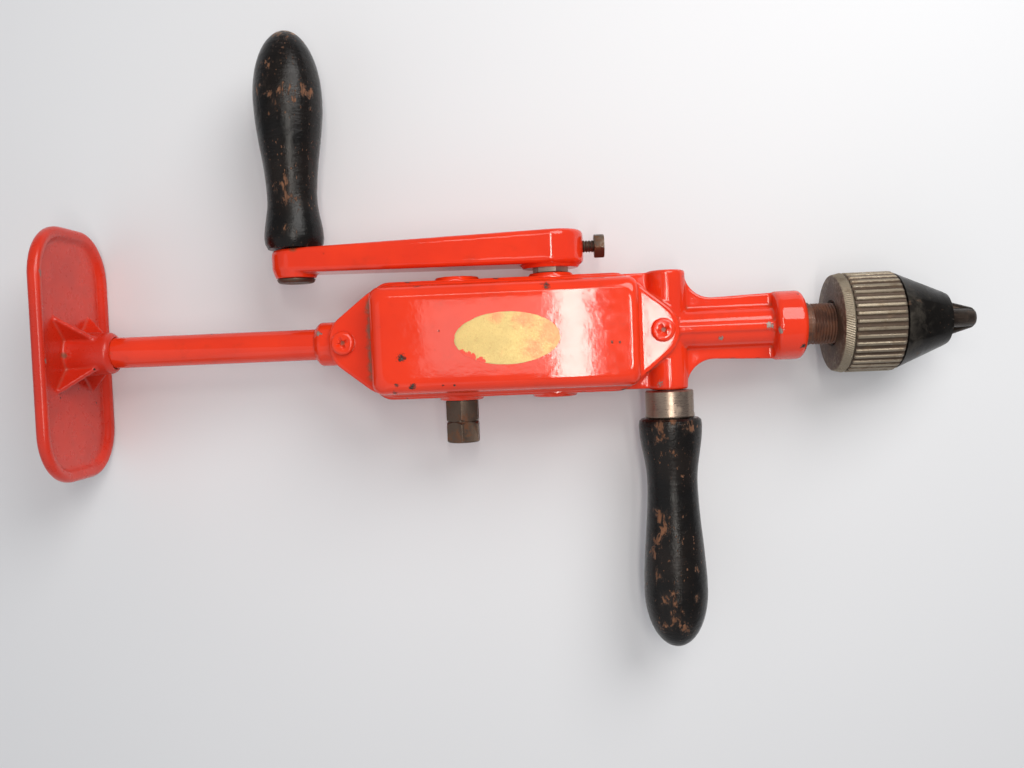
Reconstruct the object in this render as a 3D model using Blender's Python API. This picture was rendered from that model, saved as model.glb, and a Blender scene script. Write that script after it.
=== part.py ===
"""A geared hand drill with a breast plate, two crank shafts and a three-jaw chuck.

Metres, +Z up. The drill lies on its back: the spindle runs along +X and the crank's shaft along +Y.
Places inside the drill are measured from the point where those two axes cross, and the empty
drill_frame carries that point, so that the world origin is the middle of the underside.
"""

from math import acos, atan2, cos, pi, radians, sin, tan

import bmesh
import bpy
from mathutils import Matrix, Vector

# Fits and facets
GAP = 0.0003
OVERRUN = 0.003
ROUND_SIDES = 32
SMALL_SIDES = 16
GRIP_SIDES = 20
CORNER_STEPS = 3

# Gears
SPUR_MODULE = 0.0014
SPUR_PINION_TEETH = 24
SPUR_GEAR_TEETH = 36
SPUR_FACE = 0.0055
SPUR_HUB_RADIUS = 0.009
SPUR_OUTER_HUB = 0.0032
SPUR_INNER_HUB = 0.006
BEVEL_MODULE = 0.00125
BEVEL_GEAR_TEETH = 32
BEVEL_PINION_TEETH = 16
BEVEL_FACE = 0.0065
BEVEL_RIM = 0.0022
BEVEL_GEAR_HUB_RADIUS = 0.012
BEVEL_PINION_HUB_RADIUS = 0.0078
BEVEL_PINION_HUB = 0.0047
PIN_INSET_SHARE = 0.5
PRESSURE_ANGLE = radians(20)
BACKLASH = 0.0003
ROOT_DEPTH_SHARE = 1.25
FLANK_STEPS = 2

# Shafts, bushes and pins
CROSS_SHAFT_RADIUS = 0.006
CROSS_SHAFT_JOURNAL = 0.005
HEX_ACROSS_FLATS = 0.014
HEX_STUB = 0.0188
HEX_CHAMFER = 0.001
HEX_GROOVE_PLACE = 0.0094
HEX_GROOVE_DEPTH = 0.0012
HEX_GROOVE_HALF = 0.0012
CRANK_HEX_TURN = radians(17)
SPINDLE_TAIL = 0.0125
SPINDLE_SEAT_RADIUS = 0.0045
SPINDLE_REAR_RADIUS = 0.005
SPINDLE_RADIUS = 0.006
SPINDLE_NOSE_RADIUS = 0.00915
SPINDLE_NOSE_LENGTH = 0.0173
SPINDLE_NOSE_CHAMFER = 0.001
BUSH_RADIUS = 0.008
THRUST_WASHER_RADIUS = 0.0096
THRUST_WASHER_THICKNESS = 0.0015
PIN_RADIUS = 0.0012

# Housing
GEAR_ROOM = 0.0009
CAVITY_HALF_WIDTH = 0.0225
CAVITY_REAR_ROOM = 0.0089
CAVITY_CORNER = 0.0045
SIDE_WALL = 0.0035
FLOOR_WALL = 0.0025
REAR_WALL = 0.0025
FRONT_WALL = 0.011
TUB_CORNER = 0.0085
TUB_EDGE = 0.0055
SPLIT_HEIGHT = 0.010
SHAFT_BOSS_RADIUS = 0.0098
SHAFT_BOSS_OUTSIDE = 0.0015
SHAFT_BOSS_INSIDE = 0.002
CROSS_BOSS_AHEAD = 0.015
CROSS_BOSS_RADIUS = 0.0086
CROSS_BOSS_HALF_LENGTH = 0.0265
CROSS_BOSS_EDGE = 0.0008
CROSS_BOSS_SOLID_HALF = 0.012
NOSE_TUBE_RADIUS = 0.009
NOSE_BORE_RADIUS = 0.0066
NOSE_LENGTH = 0.0751
NOSE_RIB_HALF_WIDTH = 0.00175
NOSE_RIB_HEIGHT = 0.001
END_RING_LENGTH = 0.0139
END_RING_RADIUS = 0.0153
END_RING_EDGE_RADIUS = 0.006
END_RING_EDGE_LENGTH = 0.0033
END_RING_REAR_EDGE = 0.0012
FRONT_BUSH_LENGTH = 0.0130
REAR_BUSH_LENGTH = 0.0102
WEB_HALF_THICKNESS = 0.002
WEB_START_AHEAD = 0.008
WEB_BOSS_HALF_WIDTH = 0.0258
WEB_WAIST_HALF_WIDTH = 0.0132
WEB_FRONT_HALF_WIDTH = 0.0149
WEB_FILLET = 0.0121

# Flange outline, shared by the housing and its cover
FLANGE_HALF_WIDTH = 0.0252
FLANGE_THICKNESS = 0.0025
FLANGE_REAR_REACH = 0.0187
FLANGE_REAR_HALF_WIDTH = 0.0073
FLANGE_REAR_SHOULDER = 0.004
FLANGE_FRONT_REACH = 0.0191
FLANGE_FRONT_HALF_WIDTH = 0.00645
FLANGE_FRONT_SHOULDER = 0.004
FLANGE_REAR_CORNER = 0.0125
FLANGE_SHOULDER_CORNER = 0.012
FLANGE_REAR_SHOULDER_CORNER = 0.024
FLANGE_TIP_CORNER = 0.0132
NECK_DEPTH = 0.012
NECK_OVERLAP = 0.020
FRONT_PAD_OVERLAP = 0.012
NECK_EDGE = 0.0055
FRONT_PAD_DEPTH = 0.008

# Cover box
COVER_TOP_HEIGHT = 0.020
COVER_HALF_WIDTH = 0.0238
COVER_DRAFT = 0.0008
COVER_WALL = 0.0025
COVER_REAR_INSET = 0.0022
COVER_FRONT_OVERHANG = 0.0012
COVER_CORNER = 0.0045
COVER_SIDE_EDGE = 0.0055
COVER_REAR_EDGE = 0.006
COVER_FRONT_EDGE = 0.003

# Cover screws
SCREW_RADIUS = 0.0025
SCREW_HEAD_RADIUS = 0.0052
SCREW_HEAD_HEIGHT = 0.003
SCREW_DEPTH = 0.0023
SCREW_REAR_INSET = 0.0067
SCREW_FRONT_INSET = 0.0075
SCREW_SLOT_HALF_WIDTH = 0.0007
SCREW_SLOT_HALF_LENGTH = 0.0028
SCREW_SLOT_DEPTH = 0.0016

# Back tube, its collar and the breast plate
TUBE_RADIUS = 0.0070
TUBE_WALL = 0.0012
TUBE_LENGTH = 0.132
TUBE_SEAT_DEPTH = 0.0223
COLLAR_RADIUS = 0.0099
COLLAR_REACH = 0.0079
COLLAR_EDGE = 0.0022
PLATE_HALF_WIDTH = 0.0325
PLATE_HALF_LENGTH = 0.0573
PLATE_CORNER = 0.0235
PLATE_FLOOR = 0.0030
PLATE_LIP_HEIGHT = 0.0030
PLATE_LIP_WIDTH = 0.0042
LIP_CREST_SHARE = 0.35
LIP_DROP_SHARE = 0.2
PLATE_BACK_EDGE = 0.0028
PLATE_TRAY_SLOPE = 0.0022
PLATE_BOSS_RADIUS = 0.0105
PLATE_BOSS_TAPER = 0.0011
PLATE_BOSS_LENGTH = 0.020
PLATE_BOSS_EDGE = 0.0016
PLATE_BORE_FLOOR = 0.0054
PLATE_RIB_REACH = 0.0235
PLATE_RIB_HALF_THICKNESS = 0.0011
PLATE_RIB_HEIGHT = 0.0155

# Crank arm
CRANK_REACH = 0.1148
ARM_HUB_RADIUS = 0.015
ARM_END_RADIUS = 0.0104
ARM_STAND_OFF = 0.0022
ARM_HUB_THICKNESS = 0.0162
ARM_END_OFFSET = 0.0025
ARM_END_THICKNESS = 0.0110
ARM_EDGE = 0.0022
ARM_HUB_PAD_RADIUS = 0.0128
ARM_HUB_PAD_HEIGHT = 0.0014
ARM_END_PAD_HEIGHT = 0.0021
ARM_END_PAD_TAPER = 0.0014
ARM_HEX_COVER = 0.0019
SET_SCREW_RADIUS = 0.00275
SET_SCREW_NECK = 0.0048
SET_SCREW_HEAD_LENGTH = 0.0045
SET_SCREW_ACROSS_FLATS = 0.0098
SET_SCREW_SIDESTEP = 0.0010

# Crank handle
AXLE_RADIUS = 0.004
AXLE_HEAD_RADIUS = 0.0085
AXLE_HEAD_HEIGHT = 0.0020
AXLE_REACH_IN_GRIP = 0.072
HANDLE_BASE_RADIUS = 0.0118
HANDLE_SHOULDER_RADIUS = 0.0132
HANDLE_SHOULDER_PLACE = 0.0045
HANDLE_NECK_RADIUS = 0.0111
HANDLE_NECK_PLACE = 0.022
HANDLE_BULGE_RADIUS = 0.0153
HANDLE_BULGE_PLACE = 0.067
HANDLE_LENGTH = 0.0974

# Side handle
FERRULE_RADIUS = 0.0107
FERRULE_WALL = 0.0011
FERRULE_LENGTH = 0.0125
STUD_RADIUS = 0.005
STUD_REACH_IN_GRIP = 0.060
SIDE_SHOULDER_RADIUS = 0.0140
SIDE_SHOULDER_PLACE = 0.0028
SIDE_NECK_RADIUS = 0.0112
SIDE_NECK_PLACE = 0.0288
SIDE_BULGE_RADIUS = 0.01415
SIDE_BULGE_PLACE = 0.0778
SIDE_GRIP_LENGTH = 0.1033
GRIP_TAIL_CLEARANCE = 0.0012
GRIP_SWELL_STEPS = 5
GRIP_DOME_STEPS = 5

# Chuck
CHUCK_FLANGE_THICKNESS = 0.0045
CHUCK_FLANGE_SLANT = 0.0008
CHUCK_SET_BACK = 0.0070
CHUCK_CORE_RADIUS = 0.0148
CHUCK_CORE_LENGTH = 0.0212
CHUCK_SLOT_DEPTH = 0.005
SLEEVE_RADIUS = 0.022
SLEEVE_LENGTH = 0.0213
SLEEVE_LIP = 0.0036
SLEEVE_WALL = 0.0027
RIDGE_COUNT = 40
RIDGE_DEPTH = 0.001
RIDGE_TOP_SHARE = 0.30
RIDGE_FOOT_SHARE = 0.62
RING_GROOVE_DEPTH = 0.0008
RING_RADIUS = 0.0178
RING_THICKNESS = 0.0013
RING_OPENING_HALF = 0.003
NOSE_REAR_RADIUS = 0.021
NOSE_FRONT_RADIUS = 0.0122
NOSE_CONE_LENGTH = 0.0211
NOSE_FRONT_EDGE = 0.0017
NOSE_REAR_EDGE = 0.0006
NOSE_SKIRT_WALL = 0.0028
NOSE_SKIRT_LENGTH = 0.0157
NOSE_CAVITY_REAR_RADIUS = 0.009
NOSE_CAVITY_FRONT_RADIUS = 0.0055
JAW_ANGLE = radians(20)
JAW_COUNT = 3
JAW_RADIUS = 0.00415
JAW_AXIS_AT_NOSE = 0.0046
JAW_REACH = 0.0131
JAW_BACK_RADIUS = 0.0124
JAW_TIP_RADIUS = 0.0034
JAW_TIP_SHOULDER_RADIUS = 0.0052
JAW_TIP_LENGTH = 0.0020
JAW_SPLIT = 0.0004
TENON_HALF_WIDTH = 0.002
TENON_INNER = 0.0063
TENON_OUTER = 0.0103
TENON_OVERLAP = 0.0042
NOSE_TRAVEL = 0.012

# Places in the drill frame, worked out from the sizes above
COUNTERSHAFT_X = -SPUR_MODULE * (SPUR_PINION_TEETH + SPUR_GEAR_TEETH) / 2
SPUR_GEAR_TIP = SPUR_MODULE * (SPUR_GEAR_TEETH / 2 + 1)
HEEL_ON_SPINDLE = BEVEL_MODULE * BEVEL_GEAR_TEETH / 2
CAVITY_REACH = SPUR_GEAR_TIP + GEAR_ROOM
CAVITY_REAR = COUNTERSHAFT_X - SPUR_GEAR_TIP - CAVITY_REAR_ROOM
CAVITY_FRONT = HEEL_ON_SPINDLE + BEVEL_PINION_HUB + GAP
TUB_REAR = CAVITY_REAR - REAR_WALL
TUB_FRONT = CAVITY_FRONT + FRONT_WALL
TUB_HALF_WIDTH = CAVITY_HALF_WIDTH + SIDE_WALL
TUB_BOTTOM = -CAVITY_REACH - FLOOR_WALL
BOSS_FACE = TUB_HALF_WIDTH + SHAFT_BOSS_OUTSIDE
BOSS_INNER_FACE = CAVITY_HALF_WIDTH - SHAFT_BOSS_INSIDE
HUB_FACE = BOSS_INNER_FACE - GAP
SPUR_OUTER_FACE = HUB_FACE - SPUR_OUTER_HUB
SPUR_INNER_FACE = SPUR_OUTER_FACE - SPUR_FACE
CROSS_BOSS_X = TUB_FRONT + CROSS_BOSS_AHEAD
FLANGE_REAR = TUB_REAR - FLANGE_REAR_REACH
FLANGE_FRONT = TUB_FRONT + FLANGE_FRONT_REACH
FLANGE_BASE = SPLIT_HEIGHT + GAP
FLANGE_TOP = FLANGE_BASE + FLANGE_THICKNESS
COVER_TOP = SPLIT_HEIGHT + COVER_TOP_HEIGHT
COLLAR_REAR = FLANGE_REAR - COLLAR_REACH
TUBE_SEAT = COLLAR_REAR + TUBE_SEAT_DEPTH
TUBE_FRONT = TUBE_SEAT - GAP
TUBE_REAR = TUBE_FRONT - TUBE_LENGTH
PLATE_BORE_END = TUBE_REAR - GAP
PLATE_BACK = PLATE_BORE_END - PLATE_BORE_FLOOR
PLATE_TRAY = PLATE_BACK + PLATE_FLOOR
PLATE_FRONT = PLATE_TRAY + PLATE_LIP_HEIGHT
PLATE_BOSS_FRONT = PLATE_TRAY + PLATE_BOSS_LENGTH
RING_FACE = TUB_FRONT + NOSE_LENGTH
FRONT_BUSH_REAR = RING_FACE - FRONT_BUSH_LENGTH
WASHER_REAR = RING_FACE + GAP
COLLAR_FACE = WASHER_REAR + THRUST_WASHER_THICKNESS + GAP
SPINDLE_END = COLLAR_FACE + SPINDLE_NOSE_LENGTH
CHUCK_REAR = SPINDLE_END - CHUCK_SET_BACK
CHUCK_FLANGE_FRONT = CHUCK_REAR + CHUCK_FLANGE_THICKNESS
CHUCK_CORE_FRONT = CHUCK_FLANGE_FRONT + CHUCK_CORE_LENGTH
SLEEVE_REAR = CHUCK_FLANGE_FRONT + GAP
SLEEVE_FRONT = SLEEVE_REAR + SLEEVE_LENGTH
SLEEVE_LIP_FRONT = SLEEVE_REAR + SLEEVE_LIP
SLEEVE_BORE = SLEEVE_RADIUS - RIDGE_DEPTH - SLEEVE_WALL
RING_REAR = SLEEVE_LIP_FRONT + GAP
RING_FRONT = RING_REAR + RING_THICKNESS
CONE_REAR = SLEEVE_FRONT + GAP
CONE_FRONT = CONE_REAR + NOSE_CONE_LENGTH
NOSE_FRONT = CONE_FRONT + NOSE_FRONT_EDGE
SKIRT_REAR = CONE_REAR - NOSE_SKIRT_LENGTH
SKIRT_RADIUS = SLEEVE_BORE - GAP
SKIRT_BORE = SKIRT_RADIUS - NOSE_SKIRT_WALL
JAW_TIP = NOSE_FRONT + JAW_REACH
JAW_REAR = CHUCK_CORE_FRONT + GAP
JAW_TRAVEL = NOSE_TRAVEL * tan(JAW_ANGLE)
HEX_START = BOSS_FACE + GAP
HEX_CORNER = HEX_ACROSS_FLATS / 2 / cos(pi / 6)
SPINDLE_SHOULDER = CAVITY_FRONT + REAR_BUSH_LENGTH + GAP
ARM_FACE = BOSS_FACE + ARM_STAND_OFF
ARM_END_FACE = ARM_FACE + ARM_END_OFFSET
ARM_END_TOP = ARM_END_FACE + ARM_END_THICKNESS
ARM_TOP = ARM_FACE + ARM_HUB_THICKNESS
ARM_END_PAD_FACE = ARM_END_FACE - ARM_END_PAD_HEIGHT
HANDLE_BASE = ARM_END_TOP + GAP
HANDLE_TIP = HANDLE_BASE + HANDLE_LENGTH
SIDE_FERRULE_FACE = CROSS_BOSS_HALF_LENGTH + GAP
SIDE_GRIP_FACE = SIDE_FERRULE_FACE + FERRULE_LENGTH
SIDE_TIP = SIDE_GRIP_FACE + SIDE_GRIP_LENGTH
MIDDLE_X = (PLATE_BACK + JAW_TIP) / 2
MIDDLE_Y = (HANDLE_TIP - SIDE_TIP) / 2


def clear_scene():
    for thing in list(bpy.data.objects):
        bpy.data.objects.remove(thing, do_unlink=True)


def add_empty(name, place, turn=(0, 0, 0), parent=None):
    """A plain axis marker whose local Z is the axis that pieces turn about."""
    marker = bpy.data.objects.new(name, None)
    marker.empty_display_size = CROSS_SHAFT_RADIUS
    marker.location = place
    marker.rotation_euler = turn
    marker.parent = parent
    bpy.context.scene.collection.objects.link(marker)
    return marker


def make_material(name, colour, roughness, metallic):
    skin = bpy.data.materials.new(name)
    skin.use_nodes = True
    shader = skin.node_tree.nodes["Principled BSDF"]
    shader.inputs["Base Color"].default_value = (*colour, 1)
    shader.inputs["Roughness"].default_value = roughness
    shader.inputs["Metallic"].default_value = metallic
    skin.diffuse_color = (*colour, 1)
    return skin


def add_piece(name, mesh, parent, skin):
    """Closes the mesh's books and links it; a piece without a skin is a cutter or an operand."""
    bmesh.ops.recalc_face_normals(mesh, faces=mesh.faces)
    data = bpy.data.meshes.new(name)
    mesh.to_mesh(data)
    mesh.free()
    piece = bpy.data.objects.new(name, data)
    piece.parent = parent
    bpy.context.scene.collection.objects.link(piece)
    if skin is None:
        piece.hide_render = True
        piece.display_type = "WIRE"
        return piece
    data.materials.append(skin)
    data.shade_smooth()
    data.set_sharp_from_angle(angle=radians(32))
    return piece


def turned(name, outline, parent, skin=None, sides=ROUND_SIDES, placing=None):
    """Spins an outline of (radius, height) about local Z. It starts and ends on the axis, or is a ring."""
    mesh = bmesh.new()
    corners = [mesh.verts.new((radius, 0, height)) for radius, height in outline]
    edges = [mesh.edges.new(pair) for pair in zip(corners, corners[1:])]
    if outline[0][0] > 0:
        edges.append(mesh.edges.new((corners[-1], corners[0])))
    bmesh.ops.spin(
        mesh, geom=corners + edges, axis=(0, 0, 1), cent=(0, 0, 0), angle=2 * pi, steps=sides
    )
    bmesh.ops.remove_doubles(mesh, verts=mesh.verts, dist=GAP / 100)
    if placing is not None:
        mesh.transform(placing)
    return add_piece(name, mesh, parent, skin)


def plug(name, radius, start, end, parent, skin=None, sides=SMALL_SIDES, placing=None):
    outline = [(0, start), (radius, start), (radius, end), (0, end)]
    return turned(name, outline, parent, skin, sides, placing)


def lofted(name, rings, parent, skin=None, placing=None):
    """Joins rings that have equal point counts, one after another, and caps the two end rings."""
    mesh = bmesh.new()
    rows = [[mesh.verts.new(point) for point in ring] for ring in rings]
    mesh.faces.new(rows[0])
    mesh.faces.new(rows[-1])
    for lower, upper in zip(rows, rows[1:]):
        for index in range(len(lower)):
            mesh.faces.new((lower[index - 1], lower[index], upper[index], upper[index - 1]))
    if placing is not None:
        mesh.transform(placing)
    return add_piece(name, mesh, parent, skin)


def block(name, low, high, parent, skin=None, placing=None):
    """A box between two corners."""
    outline = [(low[0], low[1]), (high[0], low[1]), (high[0], high[1]), (low[0], high[1])]
    return lofted(name, [at_height(outline, low[2]), at_height(outline, high[2])], parent, skin, placing)


def at_height(outline, height):
    return [(x, y, height) for x, y in outline]


def in_side_view(outline, place):
    """Turns an (x, z) outline into points of the plane y = place."""
    return [(x, place, z) for x, z in outline]


def rounded_outline(corners, radii, steps=CORNER_STEPS):
    """Replaces each corner by an arc of its own radius, tangent to both sides."""
    points = []
    for index, corner in enumerate(corners):
        here = Vector(corner)
        back = (Vector(corners[index - 1]) - here).normalized()
        ahead = (Vector(corners[(index + 1) % len(corners)]) - here).normalized()
        half_angle = back.angle(ahead) / 2
        centre = here + (back + ahead).normalized() * (radii[index] / sin(half_angle))
        start = here + back * (radii[index] / tan(half_angle)) - centre
        end = here + ahead * (radii[index] / tan(half_angle)) - centre
        first = atan2(start.y, start.x)
        sweep = (atan2(end.y, end.x) - first + pi) % (2 * pi) - pi
        for step in range(steps + 1):
            angle = first + sweep * step / steps
            points.append((centre.x + radii[index] * cos(angle), centre.y + radii[index] * sin(angle)))
    return points


def box_outline(rear, front, half_width, corner):
    corners = [(rear, -half_width), (front, -half_width), (front, half_width), (rear, half_width)]
    return rounded_outline(corners, [corner] * len(corners))


def add_boolean(piece, other, operation, solver="EXACT"):
    change = piece.modifiers.new(f"{operation.lower()} {other.name}", "BOOLEAN")
    change.operation = operation
    change.solver = solver
    change.object = other
    other.hide_render = True
    other.display_type = "WIRE"


def cut(piece, *cutters, solver="EXACT"):
    for cutter in cutters:
        add_boolean(piece, cutter, "DIFFERENCE", solver)


def fuse(piece, *others, solver="EXACT"):
    for other in others:
        add_boolean(piece, other, "UNION", solver)


def keep_inside(piece, *envelopes):
    for envelope in envelopes:
        add_boolean(piece, envelope, "INTERSECT")


def involute(angle):
    return tan(angle) - angle


def tooth_flank(pitch_radius, module):
    """(radius, half angle) from the root to the tip of one flank, thinned by half the backlash."""
    base = pitch_radius * cos(PRESSURE_ANGLE)
    root = pitch_radius - ROOT_DEPTH_SHARE * module
    foot = max(base, root)
    half_at_pitch = (pi * module - BACKLASH) / (4 * pitch_radius)
    height = pitch_radius + module - foot
    radii = [foot + height * step / FLANK_STEPS for step in range(FLANK_STEPS + 1)]
    angles = [half_at_pitch + involute(PRESSURE_ANGLE) - involute(acos(base / radius)) for radius in radii]
    if root < foot:
        return [(root, angles[0]), *zip(radii, angles)]
    return list(zip(radii, angles))


def gear_outline(teeth, flank, first_tooth, spread=1):
    """(radius, angle) once round a gear; spread turns a back cone's angles into real ones."""
    outline = []
    for tooth in range(teeth):
        middle = first_tooth + 2 * pi * tooth / teeth
        outline += [(radius, middle - spread * half) for radius, half in flank]
        outline += [(radius, middle + spread * half) for radius, half in reversed(flank)]
    return outline


def add_pin(name, line, place, half_length, skin):
    """A cross pin along the line's local X, and the hole that it drops into."""
    across = Matrix.Translation((0, 0, place)) @ Matrix.Rotation(pi / 2, 4, "Y")
    pin = plug(name, PIN_RADIUS, -half_length, half_length, line, skin, placing=across)
    reach = half_length + OVERRUN
    hole = plug(f"{name} hole", PIN_RADIUS + GAP, -reach, reach, line, placing=across)
    return pin, hole


def add_spur_gear(name, teeth, first_tooth, line, shaft, steel):
    """A spur gear with a hub on each side, pinned to its shaft."""
    flank = tooth_flank(SPUR_MODULE * teeth / 2, SPUR_MODULE)
    points = gear_outline(teeth, flank, first_tooth)
    outline = [(radius * cos(angle), radius * sin(angle)) for radius, angle in points]
    faces = [at_height(outline, -SPUR_OUTER_FACE), at_height(outline, -SPUR_INNER_FACE)]
    gear = lofted(name, faces, line, steel)
    inner_end = -(SPUR_INNER_FACE - SPUR_INNER_HUB)
    hub = plug(f"{name} hub", SPUR_HUB_RADIUS, -HUB_FACE, inner_end, line)
    bore = plug(f"{name} bore", CROSS_SHAFT_RADIUS + GAP, -HUB_FACE - OVERRUN, inner_end + OVERRUN, line)
    place = inner_end - SPUR_INNER_HUB * PIN_INSET_SHARE
    hole = add_pin(f"{name}_pin", line, place, SPUR_HUB_RADIUS - GAP, steel)[1]
    fuse(gear, hub)
    cut(gear, bore, hole)
    cut(shaft, hole)


def bevel_cone(teeth, other_teeth):
    """The pitch cone's half angle and its length from the apex to the heel."""
    angle = atan2(teeth, other_teeth)
    return angle, BEVEL_MODULE * teeth / 2 / sin(angle)


def back_cone_point(radius, cone, distance):
    """Where the cone across the teeth, at this distance from the apex, has the given radius."""
    return radius, distance / cos(cone) - radius * tan(cone)


def bevel_teeth(name, teeth, other_teeth, near, far, first_tooth, line):
    """Teeth that shrink towards the apex, cut off flat at two heights."""
    cone, distance = bevel_cone(teeth, other_teeth)
    flank = tooth_flank(distance * tan(cone), BEVEL_MODULE)
    points = gear_outline(teeth, flank, first_tooth, 1 / cos(cone))
    slopes = [(r * cos(cone) / (distance / cos(cone) - r * sin(cone)), angle) for r, angle in points]
    rings = []
    for height in (near, far):
        outline = [(height * slope * cos(angle), height * slope * sin(angle)) for slope, angle in slopes]
        rings.append(at_height(outline, height))
    return lofted(name, rings, line)


def bevel_tips(teeth, other_teeth):
    """Points just outside the tooth tips, at the toe and at the heel."""
    cone, distance = bevel_cone(teeth, other_teeth)
    heel_radius = BEVEL_MODULE * (teeth / 2 + ROOT_DEPTH_SHARE * cos(cone))
    toe = distance - BEVEL_FACE
    toe_tip = back_cone_point(heel_radius * toe / distance, cone, toe)
    return toe_tip, back_cone_point(heel_radius, cone, distance)


def add_bevel_gear(line, shaft, steel):
    cone, distance = bevel_cone(BEVEL_GEAR_TEETH, BEVEL_PINION_TEETH)
    toe_tip, heel_tip = bevel_tips(BEVEL_GEAR_TEETH, BEVEL_PINION_TEETH)
    toe = distance - BEVEL_FACE
    rim = ROOT_DEPTH_SHARE * BEVEL_MODULE + BEVEL_RIM
    toe_foot = back_cone_point(toe * sin(cone) - rim * cos(cone), cone, toe)
    heel_foot = back_cone_point(distance * sin(cone) - rim * cos(cone), cone, distance)
    bore = CROSS_SHAFT_RADIUS + GAP
    gear = turned(
        "bevel_gear",
        [
            (bore, toe_foot[1]),
            toe_foot,
            toe_tip,
            heel_tip,
            heel_foot,
            (BEVEL_GEAR_HUB_RADIUS, heel_foot[1]),
            (BEVEL_GEAR_HUB_RADIUS, HUB_FACE),
            (bore, HUB_FACE),
        ],
        line,
        steel,
    )
    near = toe_tip[1] - OVERRUN
    space_first = pi / BEVEL_GEAR_TEETH
    teeth = bevel_teeth(
        "bevel gear teeth", BEVEL_GEAR_TEETH, BEVEL_PINION_TEETH, near, HUB_FACE + OVERRUN, space_first, line
    )
    keep_inside(gear, teeth)
    place = heel_foot[1] + (HUB_FACE - heel_foot[1]) * PIN_INSET_SHARE
    hole = add_pin("bevel_gear_pin", line, place, BEVEL_GEAR_HUB_RADIUS - GAP, steel)[1]
    cut(gear, hole)
    cut(shaft, hole)


def add_bevel_pinion(line, spindle, steel):
    cone, distance = bevel_cone(BEVEL_PINION_TEETH, BEVEL_GEAR_TEETH)
    toe_tip, heel_tip = bevel_tips(BEVEL_PINION_TEETH, BEVEL_GEAR_TEETH)
    bore = SPINDLE_SEAT_RADIUS + GAP
    end = HEEL_ON_SPINDLE + BEVEL_PINION_HUB
    hub_start = back_cone_point(BEVEL_PINION_HUB_RADIUS, cone, distance)
    pinion = turned(
        "bevel_pinion",
        [
            back_cone_point(bore, cone, distance - BEVEL_FACE),
            toe_tip,
            heel_tip,
            hub_start,
            (BEVEL_PINION_HUB_RADIUS, end),
            (bore, end),
        ],
        line,
        steel,
    )
    near = toe_tip[1] - OVERRUN
    teeth = bevel_teeth(
        "bevel pinion teeth", BEVEL_PINION_TEETH, BEVEL_GEAR_TEETH, near, end + OVERRUN, 0, line
    )
    keep_inside(pinion, teeth)
    place = hub_start[1] + (end - hub_start[1]) * PIN_INSET_SHARE
    hole = add_pin("bevel_pinion_pin", line, place, BEVEL_PINION_HUB_RADIUS - GAP, steel)[1]
    cut(pinion, hole)
    cut(spindle, hole)


def hexagon(across_flats, turn=0):
    """A hexagon with flats at right angles to local X, turned by an angle."""
    corner = across_flats / 2 / cos(pi / 6)
    angles = [turn + pi / 6 + pi / 3 * index for index in range(6)]
    return [(corner * cos(angle), corner * sin(angle)) for angle in angles]


def add_cross_shaft(name, line, side, hex_turn, hex_end, steel):
    """A stepped shaft across the housing; its hexagon stands out on the side given as 1 or -1."""
    journal = [(0, -BOSS_FACE), (CROSS_SHAFT_JOURNAL, -BOSS_FACE), (CROSS_SHAFT_JOURNAL, -HUB_FACE)]
    body = [(CROSS_SHAFT_RADIUS, -HUB_FACE), (CROSS_SHAFT_RADIUS, HEX_START + GAP), (0, HEX_START + GAP)]
    shaft = turned(name, [(radius, side * place) for radius, place in journal + body], line, steel)
    outline = hexagon(HEX_ACROSS_FLATS, hex_turn)
    faces = [at_height(outline, side * HEX_START), at_height(outline, side * hex_end)]
    end = lofted(f"{name} hexagon", faces, line)
    envelope = [
        (0, HEX_START - OVERRUN),
        (HEX_CORNER + GAP, HEX_START - OVERRUN),
        (HEX_CORNER + GAP, hex_end - HEX_CHAMFER),
        (HEX_ACROSS_FLATS / 2 - GAP, hex_end),
        (0, hex_end),
    ]
    points = [(radius, side * place) for radius, place in envelope]
    keep_inside(end, turned(f"{name} chamfer", points, line))
    fuse(shaft, end)
    return shaft


def cut_hex_groove(shaft, line):
    """The V-shaped groove round the spare hexagon, in which a set screw catches."""
    place = -(HEX_START + HEX_GROOVE_PLACE)
    rim = HEX_CORNER + OVERRUN
    spread = HEX_GROOVE_HALF * (HEX_GROOVE_DEPTH + OVERRUN) / HEX_GROOVE_DEPTH
    outline = [(HEX_CORNER - HEX_GROOVE_DEPTH, place), (rim, place - spread), (rim, place + spread)]
    cut(shaft, turned("hexagon groove", outline, line))


def add_bush(name, line, bore, start, end, bronze):
    """A plain bearing bush between two places on its line."""
    outline = [(bore, start), (BUSH_RADIUS, start), (BUSH_RADIUS, end), (bore, end)]
    turned(name, outline, line, bronze, SMALL_SIDES)


def add_cross_bushes(name, line, side, bronze):
    """The bushes of one cross shaft: the outer one, at the hexagon, and the inner one."""
    wide = CROSS_SHAFT_RADIUS + GAP
    narrow = CROSS_SHAFT_JOURNAL + GAP
    add_bush(f"{name}_bush_outer", line, wide, side * BOSS_INNER_FACE, side * BOSS_FACE, bronze)
    add_bush(f"{name}_bush_inner", line, narrow, -side * BOSS_INNER_FACE, -side * BOSS_FACE, bronze)


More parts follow.
